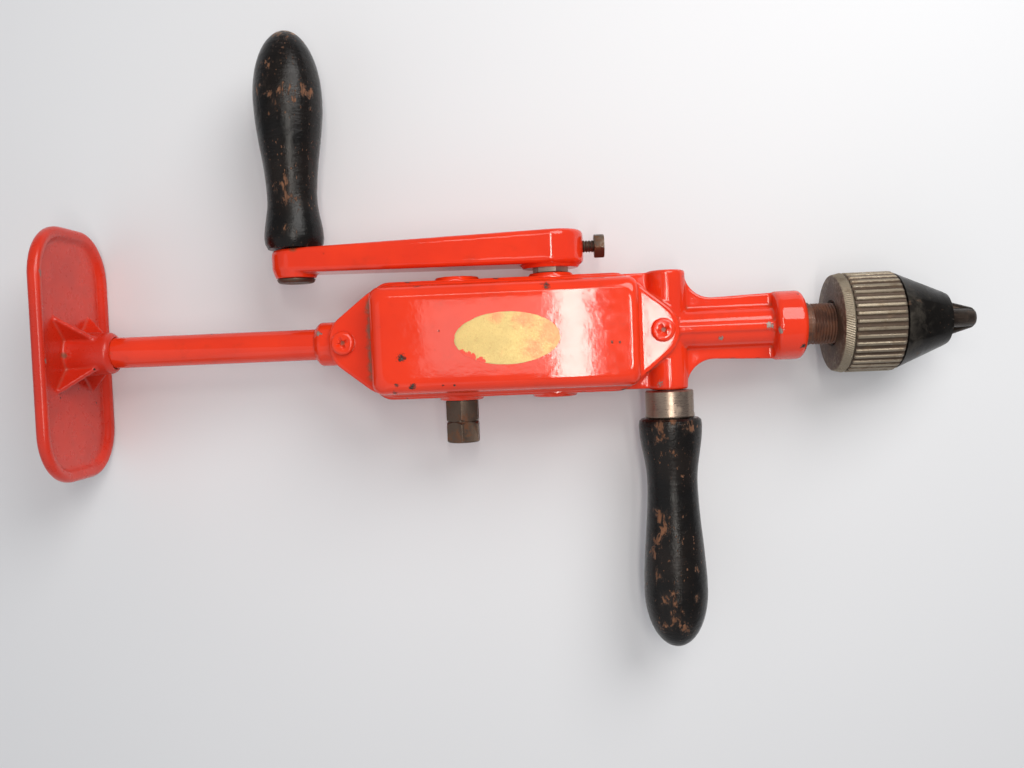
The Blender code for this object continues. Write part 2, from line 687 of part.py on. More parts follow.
def add_spindle(line, steel):
    outline = [
        (0, SPINDLE_TAIL),
        (SPINDLE_SEAT_RADIUS, SPINDLE_TAIL),
        (SPINDLE_SEAT_RADIUS, CAVITY_FRONT - GAP),
        (SPINDLE_REAR_RADIUS, CAVITY_FRONT - GAP),
        (SPINDLE_REAR_RADIUS, SPINDLE_SHOULDER),
        (SPINDLE_RADIUS, SPINDLE_SHOULDER),
        (SPINDLE_RADIUS, COLLAR_FACE),
        (SPINDLE_NOSE_RADIUS, COLLAR_FACE),
        (SPINDLE_NOSE_RADIUS, SPINDLE_END - SPINDLE_NOSE_CHAMFER),
        (SPINDLE_NOSE_RADIUS - SPINDLE_NOSE_CHAMFER, SPINDLE_END),
        (0, SPINDLE_END),
    ]
    return turned("spindle", outline, line, steel)


def add_spindle_bearings(line, bronze, steel):
    rear_bore = SPINDLE_REAR_RADIUS + GAP
    rear_end = CAVITY_FRONT + REAR_BUSH_LENGTH
    add_bush("spindle_bush_rear", line, rear_bore, CAVITY_FRONT, rear_end, bronze)
    bore = SPINDLE_RADIUS + GAP
    add_bush("spindle_bush_front", line, bore, FRONT_BUSH_REAR, RING_FACE, bronze)
    washer_front = WASHER_REAR + THRUST_WASHER_THICKNESS
    outline = [
        (bore, WASHER_REAR),
        (THRUST_WASHER_RADIUS, WASHER_REAR),
        (THRUST_WASHER_RADIUS, washer_front),
        (bore, washer_front),
    ]
    turned("thrust_washer", outline, line, steel)


def edge_arc(radius, steps=CORNER_STEPS):
    """(inset, rise) steps of a quarter round from a flat face up to an upright side."""
    angles = [pi / 2 * step / steps for step in range(steps + 1)]
    return [(radius * (1 - sin(angle)), radius * (1 - cos(angle))) for angle in angles]


def open_box(name, rear, front, half_width, corner, bottom, edge, top, parent, skin=None):
    """A box with round upright corners and a rounded bottom edge."""
    rings = []
    for inset, rise in edge_arc(edge):
        radius = corner * (1 - inset / edge / 2)
        outline = box_outline(rear + inset, front - inset, half_width - inset, radius)
        rings.append(at_height(outline, bottom + rise))
    rings.append(at_height(box_outline(rear, front, half_width, corner), top))
    return lofted(name, rings, parent, skin)


def rear_neck_outline(inset):
    """The V behind the tub, under the rear of the cover's flange."""
    half = FLANGE_HALF_WIDTH - inset
    rear = FLANGE_REAR + inset
    rear_half = FLANGE_REAR_HALF_WIDTH - inset / 2
    shoulder = TUB_REAR + FLANGE_REAR_SHOULDER
    front = TUB_REAR + NECK_OVERLAP
    corners = [(rear, -rear_half), (shoulder, -half), (front, -half)]
    corners += [(x, -y) for x, y in reversed(corners)]
    radii = [FLANGE_REAR_CORNER - inset, FLANGE_REAR_SHOULDER_CORNER, GAP]
    return rounded_outline(corners, radii + radii[::-1])


def front_pad_outline():
    """The V ahead of the tub, under the front of the cover's flange."""
    shoulder = TUB_FRONT - FLANGE_FRONT_SHOULDER
    rear = shoulder - FRONT_PAD_OVERLAP
    corners = [
        (rear, -FLANGE_HALF_WIDTH),
        (shoulder, -FLANGE_HALF_WIDTH),
        (FLANGE_FRONT, -FLANGE_FRONT_HALF_WIDTH),
    ]
    corners += [(x, -y) for x, y in reversed(corners)]
    radii = [GAP, FLANGE_SHOULDER_CORNER, FLANGE_TIP_CORNER]
    return rounded_outline(corners, radii + radii[::-1])


def flange_outline(inset=0):
    """The whole flange: straight sides, a blunt V behind and a round V ahead."""
    half = FLANGE_HALF_WIDTH - inset
    corners = [
        (FLANGE_REAR + inset, -FLANGE_REAR_HALF_WIDTH),
        (TUB_REAR + FLANGE_REAR_SHOULDER, -half),
        (TUB_FRONT - FLANGE_FRONT_SHOULDER, -half),
        (FLANGE_FRONT - inset, -FLANGE_FRONT_HALF_WIDTH),
    ]
    corners += [(x, -y) for x, y in reversed(corners)]
    radii = [FLANGE_REAR_CORNER, FLANGE_REAR_SHOULDER_CORNER, FLANGE_SHOULDER_CORNER, FLANGE_TIP_CORNER]
    return rounded_outline(corners, radii + radii[::-1])


def web_outline():
    """The flat web in the middle plane, from the tub past the cross boss to the end ring."""
    start = CROSS_BOSS_X + WEB_START_AHEAD
    corners = [
        (TUB_FRONT - FRONT_WALL / 2, -WEB_BOSS_HALF_WIDTH),
        (start, -WEB_BOSS_HALF_WIDTH),
        (start, -WEB_WAIST_HALF_WIDTH),
        (RING_FACE - END_RING_LENGTH / 2, -WEB_FRONT_HALF_WIDTH),
    ]
    corners += [(x, -y) for x, y in reversed(corners)]
    radii = [GAP, GAP, WEB_FILLET, GAP]
    return rounded_outline(corners, radii + radii[::-1])


def add_nose(housing, spindle_line):
    """The tube ahead of the tub, with its end ring and a small rib on top."""
    start = TUB_FRONT - FRONT_WALL / 2
    tube = plug("nose tube", NOSE_TUBE_RADIUS, start, RING_FACE - OVERRUN, spindle_line, sides=ROUND_SIDES)
    rear = RING_FACE - END_RING_LENGTH
    edge_start = RING_FACE - END_RING_EDGE_LENGTH
    ring_points = [
        (0, rear),
        (END_RING_RADIUS - END_RING_REAR_EDGE, rear),
        (END_RING_RADIUS, rear + END_RING_REAR_EDGE),
        (END_RING_RADIUS, edge_start),
    ]
    for step in range(1, CORNER_STEPS + 1):
        angle = pi / 2 * step / CORNER_STEPS
        radius = END_RING_RADIUS - END_RING_EDGE_RADIUS * (1 - cos(angle))
        ring_points.append((radius, edge_start + END_RING_EDGE_LENGTH * sin(angle)))
    ring_points.append((0, RING_FACE))
    ring = turned("end ring", ring_points, spindle_line)
    fuse(housing, tube, ring, solver="MANIFOLD")


def add_housing(drill_frame, spindle_line, shaft_lines, cross_line, screw_places, enamel):
    """The tub with its rear neck and collar, shaft bosses, cross boss, web and nose.

    So many joins leave open edges with the exact solver, so the housing uses the manifold one.
    """
    housing = open_box(
        "gear_housing",
        TUB_REAR,
        TUB_FRONT,
        TUB_HALF_WIDTH,
        TUB_CORNER,
        TUB_BOTTOM,
        TUB_EDGE,
        SPLIT_HEIGHT,
        drill_frame,
        enamel,
    )
    neck_steps = edge_arc(NECK_EDGE)
    neck_rings = [at_height(rear_neck_outline(inset), rise - NECK_DEPTH) for inset, rise in neck_steps]
    neck_rings.append(at_height(rear_neck_outline(0), SPLIT_HEIGHT))
    pad = front_pad_outline()
    pad_rings = [at_height(pad, SPLIT_HEIGHT - FRONT_PAD_DEPTH), at_height(pad, SPLIT_HEIGHT)]
    collar_points = [
        (0, COLLAR_REAR),
        (COLLAR_RADIUS - COLLAR_EDGE, COLLAR_REAR),
        (COLLAR_RADIUS, COLLAR_REAR + COLLAR_EDGE),
        (COLLAR_RADIUS, FLANGE_REAR + COLLAR_EDGE),
        (0, FLANGE_REAR + COLLAR_EDGE),
    ]
    boss_points = [
        (0, -CROSS_BOSS_HALF_LENGTH),
        (CROSS_BOSS_RADIUS - CROSS_BOSS_EDGE, -CROSS_BOSS_HALF_LENGTH),
        (CROSS_BOSS_RADIUS, CROSS_BOSS_EDGE - CROSS_BOSS_HALF_LENGTH),
        (CROSS_BOSS_RADIUS, CROSS_BOSS_HALF_LENGTH - CROSS_BOSS_EDGE),
        (CROSS_BOSS_RADIUS - CROSS_BOSS_EDGE, CROSS_BOSS_HALF_LENGTH),
        (0, CROSS_BOSS_HALF_LENGTH),
    ]
    web = web_outline()
    rib_low = (CROSS_BOSS_X, -NOSE_RIB_HALF_WIDTH, 0)
    rib_high = (RING_FACE - END_RING_LENGTH / 2, NOSE_RIB_HALF_WIDTH, NOSE_TUBE_RADIUS + NOSE_RIB_HEIGHT)
    fuse(
        housing,
        lofted("rear neck", neck_rings, drill_frame),
        lofted("front pad", pad_rings, drill_frame),
        turned("collar", collar_points, spindle_line),
        turned("cross boss", boss_points, cross_line),
        lofted("web", [at_height(web, -WEB_HALF_THICKNESS), at_height(web, WEB_HALF_THICKNESS)], drill_frame),
        block("nose rib", rib_low, rib_high, drill_frame),
        solver="MANIFOLD",
    )
    add_nose(housing, spindle_line)
    hollow_housing(housing, drill_frame, spindle_line, shaft_lines, cross_line, screw_places)


def hollow_housing(housing, drill_frame, spindle_line, shaft_lines, cross_line, screw_places):
    """Cuts the gear room, then stands the shaft bosses in its walls and bores every seat."""
    room = open_box(
        "gear room",
        CAVITY_REAR,
        CAVITY_FRONT,
        CAVITY_HALF_WIDTH,
        CAVITY_CORNER,
        -CAVITY_REACH,
        CAVITY_CORNER,
        SPLIT_HEIGHT + OVERRUN,
        drill_frame,
    )
    cut(housing, room, solver="MANIFOLD")
    seat = BUSH_RADIUS + GAP
    for line in shaft_lines:
        for side in (-1, 1):
            name = f"{line.name} boss {side}"
            boss = plug(name, SHAFT_BOSS_RADIUS, side * BOSS_INNER_FACE, side * BOSS_FACE, line)
            fuse(housing, boss, solver="MANIFOLD")
        bore = plug(f"{line.name} seats", seat, -BOSS_FACE - OVERRUN, BOSS_FACE + OVERRUN, line)
        cut(housing, bore, solver="MANIFOLD")
    tail = CAVITY_FRONT - OVERRUN
    cut(
        housing,
        plug("rear bush seat", seat, tail, SPINDLE_SHOULDER, spindle_line),
        plug("nose bore", NOSE_BORE_RADIUS, tail, RING_FACE + OVERRUN, spindle_line),
        plug("front bush seat", seat, FRONT_BUSH_REAR - GAP, RING_FACE + OVERRUN, spindle_line),
        plug("tube seat", TUBE_RADIUS + GAP, COLLAR_REAR - OVERRUN, TUBE_SEAT, spindle_line),
        solver="MANIFOLD",
    )
    for side in (-1, 1):
        name = f"handle hole {side}"
        start = side * CROSS_BOSS_SOLID_HALF
        end = side * (CROSS_BOSS_HALF_LENGTH + OVERRUN)
        cut(housing, plug(name, STUD_RADIUS + GAP, start, end, cross_line), solver="MANIFOLD")
    for name, place in screw_places.items():
        bottom = SPLIT_HEIGHT - SCREW_DEPTH - GAP
        top = SPLIT_HEIGHT + OVERRUN
        upright = Matrix.Translation((place, 0, 0))
        hole = plug(f"{name} tapped hole", SCREW_RADIUS + GAP, bottom, top, drill_frame, placing=upright)
        cut(housing, hole, solver="MANIFOLD")


def cover_rings(wall, bottom):
    """The cover box from its foot up, drawn in by a wall's thickness."""
    rear = TUB_REAR + COVER_REAR_INSET + wall
    front = TUB_FRONT + COVER_FRONT_OVERHANG - wall
    half = COVER_HALF_WIDTH - wall
    top = COVER_TOP - wall
    corner = COVER_CORNER
    rings = [at_height(box_outline(rear, front, half, corner), bottom)]
    for step in range(CORNER_STEPS + 1):
        angle = pi / 2 * step / CORNER_STEPS
        drawn = 1 - cos(angle)
        outline = box_outline(
            rear + (COVER_REAR_EDGE - wall) * drawn,
            front - COVER_DRAFT - (COVER_FRONT_EDGE - wall) * drawn,
            half - COVER_DRAFT - (COVER_SIDE_EDGE - wall) * drawn,
            corner,
        )
        rings.append(at_height(outline, top - (COVER_SIDE_EDGE - wall) * (1 - sin(angle))))
    return rings


def add_cover(drill_frame, screw_places, enamel):
    """The lid over the gears: a flange with the housing's outline and a rounded box on it."""
    edge = FLANGE_THICKNESS / 4
    flange_rings = [
        at_height(flange_outline(), FLANGE_BASE),
        at_height(flange_outline(), FLANGE_TOP - edge),
        at_height(flange_outline(edge), FLANGE_TOP),
    ]
    cover = lofted("housing_cover", flange_rings, drill_frame, enamel)
    fuse(cover, lofted("cover box", cover_rings(0, FLANGE_BASE + GAP), drill_frame))
    cut(cover, lofted("cover room", cover_rings(COVER_WALL, FLANGE_BASE - OVERRUN), drill_frame))
    for name, place in screw_places.items():
        upright = Matrix.Translation((place, 0, 0))
        bottom = FLANGE_BASE - OVERRUN
        top = FLANGE_TOP + OVERRUN
        hole = plug(f"{name} clearance", SCREW_RADIUS + GAP, bottom, top, drill_frame, placing=upright)
        cut(cover, hole)


def add_cover_screw(name, place, drill_frame, paint):
    """A pan head screw with a cross slot, painted over with the cover."""
    seat = FLANGE_TOP + GAP
    top = seat + SCREW_HEAD_HEIGHT
    outline = [
        (0, SPLIT_HEIGHT - SCREW_DEPTH),
        (SCREW_RADIUS, SPLIT_HEIGHT - SCREW_DEPTH),
        (SCREW_RADIUS, seat),
        (SCREW_HEAD_RADIUS, seat),
    ]
    for step in range(CORNER_STEPS + 1):
        angle = pi / 2 * step / CORNER_STEPS
        radius = SCREW_HEAD_RADIUS - SCREW_HEAD_HEIGHT / 2 * (1 - cos(angle))
        outline.append((radius, seat + SCREW_HEAD_HEIGHT / 2 * (1 + sin(angle))))
    outline.append((0, top))
    upright = Matrix.Translation((place, 0, 0))
    screw = turned(name, outline, drill_frame, paint, SMALL_SIDES, upright)
    floor = top - SCREW_SLOT_DEPTH
    for turn in (0, pi / 2):
        placing = upright @ Matrix.Rotation(turn, 4, "Z")
        low = (-SCREW_SLOT_HALF_LENGTH, -SCREW_SLOT_HALF_WIDTH, floor)
        high = (SCREW_SLOT_HALF_LENGTH, SCREW_SLOT_HALF_WIDTH, top + OVERRUN)
        cut(screw, block(f"{name} slot", low, high, drill_frame, placing=placing))


def add_back_tube(line, steel):
    inner = TUBE_RADIUS - TUBE_WALL
    outline = [
        (inner, TUBE_REAR),
        (TUBE_RADIUS, TUBE_REAR),
        (TUBE_RADIUS, TUBE_FRONT),
        (inner, TUBE_FRONT),
    ]
    turned("back_tube", outline, line, steel)


def plate_ring(inset, place):
    """The breast plate's long outline with round corners, upright across the spindle's line."""
    along = PLATE_HALF_LENGTH - inset
    across = PLATE_HALF_WIDTH - inset
    corners = [(-along, -across), (along, -across), (along, across), (-along, across)]
    outline = rounded_outline(corners, [PLATE_CORNER - inset] * len(corners), ROUND_SIDES // 4)
    return [(place, y, z) for y, z in outline]


def add_breast_plate(drill_frame, spindle_line, enamel):
    """A shallow tray with a round lip, and a ribbed boss that holds the tube's end."""
    rings = [plate_ring(inset, PLATE_BACK + rise) for inset, rise in edge_arc(PLATE_BACK_EDGE)]
    crest = PLATE_LIP_WIDTH * LIP_CREST_SHARE
    drop = PLATE_LIP_HEIGHT * LIP_DROP_SHARE
    rings += [
        plate_ring(0, PLATE_FRONT - PLATE_LIP_HEIGHT / 2),
        plate_ring(crest / 2, PLATE_FRONT - drop),
        plate_ring(crest, PLATE_FRONT),
        plate_ring(PLATE_LIP_WIDTH, PLATE_FRONT - drop),
        plate_ring(PLATE_LIP_WIDTH + PLATE_TRAY_SLOPE, PLATE_TRAY),
    ]
    plate = lofted("breast_plate", rings, drill_frame, enamel)
    root = PLATE_TRAY - PLATE_FLOOR / 2
    end_radius = PLATE_BOSS_RADIUS - PLATE_BOSS_TAPER
    boss_points = [
        (0, root),
        (PLATE_BOSS_RADIUS, root),
        (end_radius, PLATE_BOSS_FRONT - PLATE_BOSS_EDGE),
        (end_radius - PLATE_BOSS_EDGE, PLATE_BOSS_FRONT),
        (0, PLATE_BOSS_FRONT),
    ]
    fuse(plate, turned("plate boss", boss_points, spindle_line))
    rib = [
        (TUBE_RADIUS, root),
        (PLATE_RIB_REACH, root),
        (PLATE_RIB_REACH, PLATE_TRAY + PLATE_RIB_HALF_THICKNESS),
        (end_radius - PLATE_BOSS_EDGE, PLATE_TRAY + PLATE_RIB_HEIGHT),
        (TUBE_RADIUS, PLATE_TRAY + PLATE_RIB_HEIGHT),
    ]
    for quarter in range(4):
        around = Matrix.Rotation(pi / 4 + pi / 2 * quarter, 4, "Z")
        sides = [in_side_view(rib, side * PLATE_RIB_HALF_THICKNESS) for side in (-1, 1)]
        fuse(plate, lofted(f"plate rib {quarter}", sides, spindle_line, placing=around))
    bore_end = PLATE_BOSS_FRONT + OVERRUN
    cut(plate, plug("plate bore", TUBE_RADIUS + GAP, PLATE_BORE_END, bore_end, spindle_line))


def arm_ring(inset, near_face, depth):
    """The arm's outline, drawn in by inset, at a depth from its sloping near or far face."""
    hub = ARM_HUB_RADIUS - inset
    end = ARM_END_RADIUS - inset
    tangent = acos((ARM_HUB_RADIUS - ARM_END_RADIUS) / CRANK_REACH)
    points = []
    for step in range(ROUND_SIDES // 2 + 1):
        angle = tangent * (4 * step / ROUND_SIDES - 1)
        points.append((hub * cos(angle), hub * sin(angle)))
    for step in range(ROUND_SIDES // 2 + 1):
        angle = tangent + (2 * pi - 2 * tangent) * 2 * step / ROUND_SIDES
        points.append((end * cos(angle) - CRANK_REACH, end * sin(angle)))
    ring = []
    for x, y in points:
        share = -x / CRANK_REACH
        if near_face:
            face = ARM_FACE + ARM_HUB_PAD_HEIGHT + (ARM_END_OFFSET - ARM_HUB_PAD_HEIGHT) * share
        else:
            face = ARM_TOP + (ARM_END_TOP - ARM_TOP) * share
        ring.append((x, y, face + depth))
    return ring


def add_crank_arm(line, enamel):
    """The arm with its two hubs, the hexagon hole, the axle hole and the set screw's hole.

    The exact solver leaves open edges here, so these cuts use the manifold one.
    """
    edge = edge_arc(ARM_EDGE)
    rings = [arm_ring(inset, True, rise) for inset, rise in edge]
    rings += [arm_ring(inset, False, -rise) for inset, rise in reversed(edge)]
    arm = lofted("crank_arm", rings, line, enamel)
    middle = (ARM_FACE + ARM_TOP) / 2
    hub_points = [(0, ARM_FACE), (ARM_HUB_PAD_RADIUS, ARM_FACE), (ARM_HUB_PAD_RADIUS, middle), (0, middle)]
    at_end = Matrix.Translation((-CRANK_REACH, 0, 0))
    end_middle = ARM_END_FACE + ARM_END_THICKNESS / 2
    end_points = [
        (0, ARM_END_PAD_FACE),
        (ARM_END_RADIUS - ARM_END_PAD_TAPER, ARM_END_PAD_FACE),
        (ARM_END_RADIUS - GAP, ARM_END_FACE + ARM_END_PAD_TAPER),
        (ARM_END_RADIUS - GAP, end_middle),
        (0, end_middle),
    ]
    fuse(
        arm,
        turned("hub pad", hub_points, line),
        turned("end pad", end_points, line, placing=at_end),
        solver="MANIFOLD",
    )
    outline = hexagon(HEX_ACROSS_FLATS + 2 * GAP, CRANK_HEX_TURN)
    low = ARM_FACE - OVERRUN
    high = ARM_TOP + OVERRUN
    rim = ARM_HUB_RADIUS + OVERRUN
    hole = plug("set screw hole", SET_SCREW_RADIUS + GAP, 0, rim, line, placing=along_arm())
    cut(
        arm,
        lofted("hexagon hole", [at_height(outline, low), at_height(outline, high)], line),
        plug("axle hole", AXLE_RADIUS + GAP, low, high, line, placing=at_end),
        hole,
        solver="MANIFOLD",
    )


def along_arm():
    """Turns local Z to local +X at the height of the set screw."""
    height = (ARM_FACE + ARM_TOP) / 2 + SET_SCREW_SIDESTEP
    return Matrix.Translation((0, 0, height)) @ Matrix.Rotation(pi / 2, 4, "Y")


def add_set_screw(line, steel):
    """The hexagon-headed screw that clamps the arm on its shaft."""
    neck_end = ARM_HUB_RADIUS + SET_SCREW_NECK
    placing = along_arm()
    tip = HEX_CORNER + GAP
    screw = plug("crank_set_screw", SET_SCREW_RADIUS, tip, neck_end + GAP, line, steel, placing=placing)
    outline = hexagon(SET_SCREW_ACROSS_FLATS)
    faces = [at_height(outline, neck_end), at_height(outline, neck_end + SET_SCREW_HEAD_LENGTH)]
    fuse(screw, lofted("set screw head", faces, line, placing=placing))


def add_handle_axle(line, steel):
    """The pin through the arm's end, with its flat head behind the arm."""
    head_top = ARM_END_PAD_FACE - GAP
    head = head_top - AXLE_HEAD_HEIGHT
    end = HANDLE_BASE + AXLE_REACH_IN_GRIP
    outline = [
        (0, head),
        (AXLE_HEAD_RADIUS, head),
        (AXLE_HEAD_RADIUS, head_top),
        (AXLE_RADIUS, head_top),
        (AXLE_RADIUS, end),
        (0, end),
    ]
    turned("handle_axle", outline, line, steel)


def swell(start, end):
    """(radius, height) points that ease from one station to the next, level at both."""
    points = []
    for step in range(1, GRIP_SWELL_STEPS + 1):
        share = step / GRIP_SWELL_STEPS
        ease = (1 - cos(pi * share)) / 2
        points.append((start[0] + (end[0] - start[0]) * ease, start[1] + (end[1] - start[1]) * share))
    return points


def dome(bulge, tip):
    """(radius, height) points of a quarter ellipse from the bulge to the tip."""
    points = []
    for step in range(1, GRIP_DOME_STEPS):
        angle = pi / 2 * step / GRIP_DOME_STEPS
        points.append((bulge[0] * cos(angle), bulge[1] + (tip - bulge[1]) * sin(angle)))
    return points + [(0, tip)]


def add_crank_handle(line, wood):
    """The turned grip that spins on the axle."""
    shoulder = (HANDLE_SHOULDER_RADIUS, HANDLE_BASE + HANDLE_SHOULDER_PLACE)
    neck = (HANDLE_NECK_RADIUS, HANDLE_BASE + HANDLE_NECK_PLACE)
    bulge = (HANDLE_BULGE_RADIUS, HANDLE_BASE + HANDLE_BULGE_PLACE)
    bore_end = HANDLE_BASE + AXLE_REACH_IN_GRIP + GAP
    bore = AXLE_RADIUS + GAP
    outline = [(0, bore_end), (bore, bore_end), (bore, HANDLE_BASE), (HANDLE_BASE_RADIUS, HANDLE_BASE)]
    outline += [shoulder, *swell(shoulder, neck), *swell(neck, bulge), *dome(bulge, HANDLE_TIP)]
    turned("crank_handle_grip", outline, line, wood, GRIP_SIDES)


def add_side_handle(line, wood, bright, steel):
    """The fixed grip, its ferrule and the stud that screws into the cross boss."""
    hole = STUD_RADIUS + GAP
    inner = FERRULE_RADIUS - FERRULE_WALL
    ferrule = [
        (hole, SIDE_FERRULE_FACE),
        (FERRULE_RADIUS, SIDE_FERRULE_FACE),
        (FERRULE_RADIUS, SIDE_GRIP_FACE - GAP),
        (inner, SIDE_GRIP_FACE - GAP),
        (inner, SIDE_FERRULE_FACE + FERRULE_WALL),
        (hole, SIDE_FERRULE_FACE + FERRULE_WALL),
    ]
    turned("side_handle_ferrule", ferrule, line, bright)
    stud_end = SIDE_GRIP_FACE + STUD_REACH_IN_GRIP
    plug("side_handle_stud", STUD_RADIUS, CROSS_BOSS_SOLID_HALF + GAP, stud_end, line, steel)
    tail = SIDE_FERRULE_FACE + FERRULE_WALL + GRIP_TAIL_CLEARANCE
    shoulder = (SIDE_SHOULDER_RADIUS, SIDE_GRIP_FACE + SIDE_SHOULDER_PLACE)
    neck = (SIDE_NECK_RADIUS, SIDE_GRIP_FACE + SIDE_NECK_PLACE)
    bulge = (SIDE_BULGE_RADIUS, SIDE_GRIP_FACE + SIDE_BULGE_PLACE)
    outline = [
        (0, stud_end + GAP),
        (hole, stud_end + GAP),
        (hole, tail),
        (inner - GAP, tail),
        (inner - GAP, SIDE_GRIP_FACE),
        (SIDE_SHOULDER_RADIUS - SIDE_SHOULDER_PLACE / 2, SIDE_GRIP_FACE),
    ]
    outline += [shoulder, *swell(shoulder, neck), *swell(neck, bulge), *dome(bulge, SIDE_TIP)]
    turned("side_handle_grip", outline, line, wood, GRIP_SIDES)


def ridged_ring(tip_radius, height):
    """One cross-section of the knurl: straight ridges with sloping flanks."""
    pitch = 2 * pi / RIDGE_COUNT
    foot_radius = tip_radius - RIDGE_DEPTH
    points = []
    for ridge in range(RIDGE_COUNT):
        middle = pitch * ridge
        corners = (
            (foot_radius, -RIDGE_FOOT_SHARE),
            (tip_radius, -RIDGE_TOP_SHARE),
            (tip_radius, RIDGE_TOP_SHARE),
            (foot_radius, RIDGE_FOOT_SHARE),
        )
        for radius, share in corners:
            angle = middle + pitch / 2 * share
            points.append((radius * cos(angle), radius * sin(angle), height))
    return points


def add_chuck_body(line, steel):
    """The core that screws on the spindle: a knurled rear flange, a ring groove and three jaw slots."""
    flange_rings = [
        ridged_ring(SLEEVE_RADIUS - CHUCK_FLANGE_SLANT, CHUCK_REAR),
        ridged_ring(SLEEVE_RADIUS, CHUCK_FLANGE_FRONT),
    ]
    body = lofted("chuck_body", flange_rings, line, steel)
    groove = CHUCK_CORE_RADIUS - RING_GROOVE_DEPTH
    core_points = [
        (0, CHUCK_REAR + GAP),
        (CHUCK_CORE_RADIUS, CHUCK_REAR + GAP),
        (CHUCK_CORE_RADIUS, RING_REAR - GAP),
        (groove, RING_REAR - GAP),
        (groove, RING_FRONT + GAP),
        (CHUCK_CORE_RADIUS, RING_FRONT + GAP),
        (CHUCK_CORE_RADIUS, CHUCK_CORE_FRONT),
        (0, CHUCK_CORE_FRONT),
    ]
    fuse(body, turned("chuck core", core_points, line))
    thread_end = SPINDLE_END + GAP
    cut(body, plug("chuck thread", SPINDLE_NOSE_RADIUS + GAP, CHUCK_REAR - OVERRUN, thread_end, line))
    low = (TENON_INNER - GAP, -TENON_HALF_WIDTH - GAP, CHUCK_CORE_FRONT - CHUCK_SLOT_DEPTH)
    high = (CHUCK_CORE_RADIUS + OVERRUN, TENON_HALF_WIDTH + GAP, CHUCK_CORE_FRONT + OVERRUN)
    for number in range(JAW_COUNT):
        slot = block(f"jaw slot {number + 1}", low, high, line, placing=jaw_turn(number))
        cut(body, slot)


def jaw_turn(number):
    """Turns the first jaw's plane, local -X, to the numbered jaw's place."""
    return Matrix.Rotation(pi + 2 * pi * number / JAW_COUNT, 4, "Z")


def add_chuck_sleeve(line, steel):
    """The knurled sleeve that turns on the core and drives the nose."""
    sleeve = lofted(
        "chuck_sleeve",
        [ridged_ring(SLEEVE_RADIUS, SLEEVE_REAR), ridged_ring(SLEEVE_RADIUS, SLEEVE_FRONT)],
        line,
        steel,
    )
    room = [
        (0, SLEEVE_REAR - OVERRUN),
        (CHUCK_CORE_RADIUS + GAP, SLEEVE_REAR - OVERRUN),
        (CHUCK_CORE_RADIUS + GAP, SLEEVE_LIP_FRONT),
        (SLEEVE_BORE, SLEEVE_LIP_FRONT),
        (SLEEVE_BORE, SLEEVE_FRONT + OVERRUN),
        (0, SLEEVE_FRONT + OVERRUN),
    ]
    cut(sleeve, turned("sleeve room", room, line))


def add_retaining_ring(line, steel):
    """The open ring that keeps the sleeve on the core."""
    inner = CHUCK_CORE_RADIUS - RING_GROOVE_DEPTH + GAP
    outline = [(inner, RING_REAR), (RING_RADIUS, RING_REAR), (RING_RADIUS, RING_FRONT), (inner, RING_FRONT)]
    ring = turned("sleeve_retaining_ring", outline, line, steel)
    low = (0, -RING_OPENING_HALF, RING_REAR - OVERRUN)
    high = (RING_RADIUS + OVERRUN, RING_OPENING_HALF, RING_FRONT + OVERRUN)
    cut(ring, block("ring opening", low, high, line))


def jaw_bar(name, radius, rear, front, line, skin=None, turn=None):
    """A round bar on a jaw's slanting axis, overlong at both ends."""
    lean = Matrix.Translation((JAW_AXIS_AT_NOSE, 0, NOSE_FRONT)) @ Matrix.Rotation(-JAW_ANGLE, 4, "Y")
    placing = lean if turn is None else turn @ lean
    start = (rear - NOSE_FRONT) / cos(JAW_ANGLE) - OVERRUN
    end = (front - NOSE_FRONT) / cos(JAW_ANGLE) + OVERRUN
    return plug(name, radius, start, end, line, skin, placing=placing)


def add_chuck_nose(line, steel):
    """The cone that the sleeve screws forward, with a skirt behind and three slanting jaw grooves."""
    outline = [
        (SKIRT_BORE, SKIRT_REAR),
        (SKIRT_RADIUS, SKIRT_REAR),
        (SKIRT_RADIUS, CONE_REAR),
        (NOSE_REAR_RADIUS - NOSE_REAR_EDGE, CONE_REAR),
        (NOSE_REAR_RADIUS, CONE_REAR + NOSE_REAR_EDGE),
        (NOSE_FRONT_RADIUS, CONE_FRONT),
        (NOSE_FRONT_RADIUS - NOSE_FRONT_EDGE / 2, NOSE_FRONT),
        (NOSE_CAVITY_FRONT_RADIUS, NOSE_FRONT),
        (NOSE_CAVITY_REAR_RADIUS, CONE_REAR),
        (SKIRT_BORE, CONE_REAR),
    ]
    nose = turned("chuck_nose", outline, line, steel)
    rear = SKIRT_REAR - OVERRUN
    front = NOSE_FRONT + OVERRUN
    reach = JAW_BACK_RADIUS + JAW_TRAVEL + GAP
    for number in range(JAW_COUNT):
        turn = jaw_turn(number)
        groove = jaw_bar(f"jaw groove {number + 1}", JAW_RADIUS + GAP, rear, front, line, turn=turn)
        limit = plug(f"groove limit {number + 1}", reach, rear - OVERRUN, front, line, sides=ROUND_SIDES)
        keep_inside(groove, limit)
        cut(nose, groove)


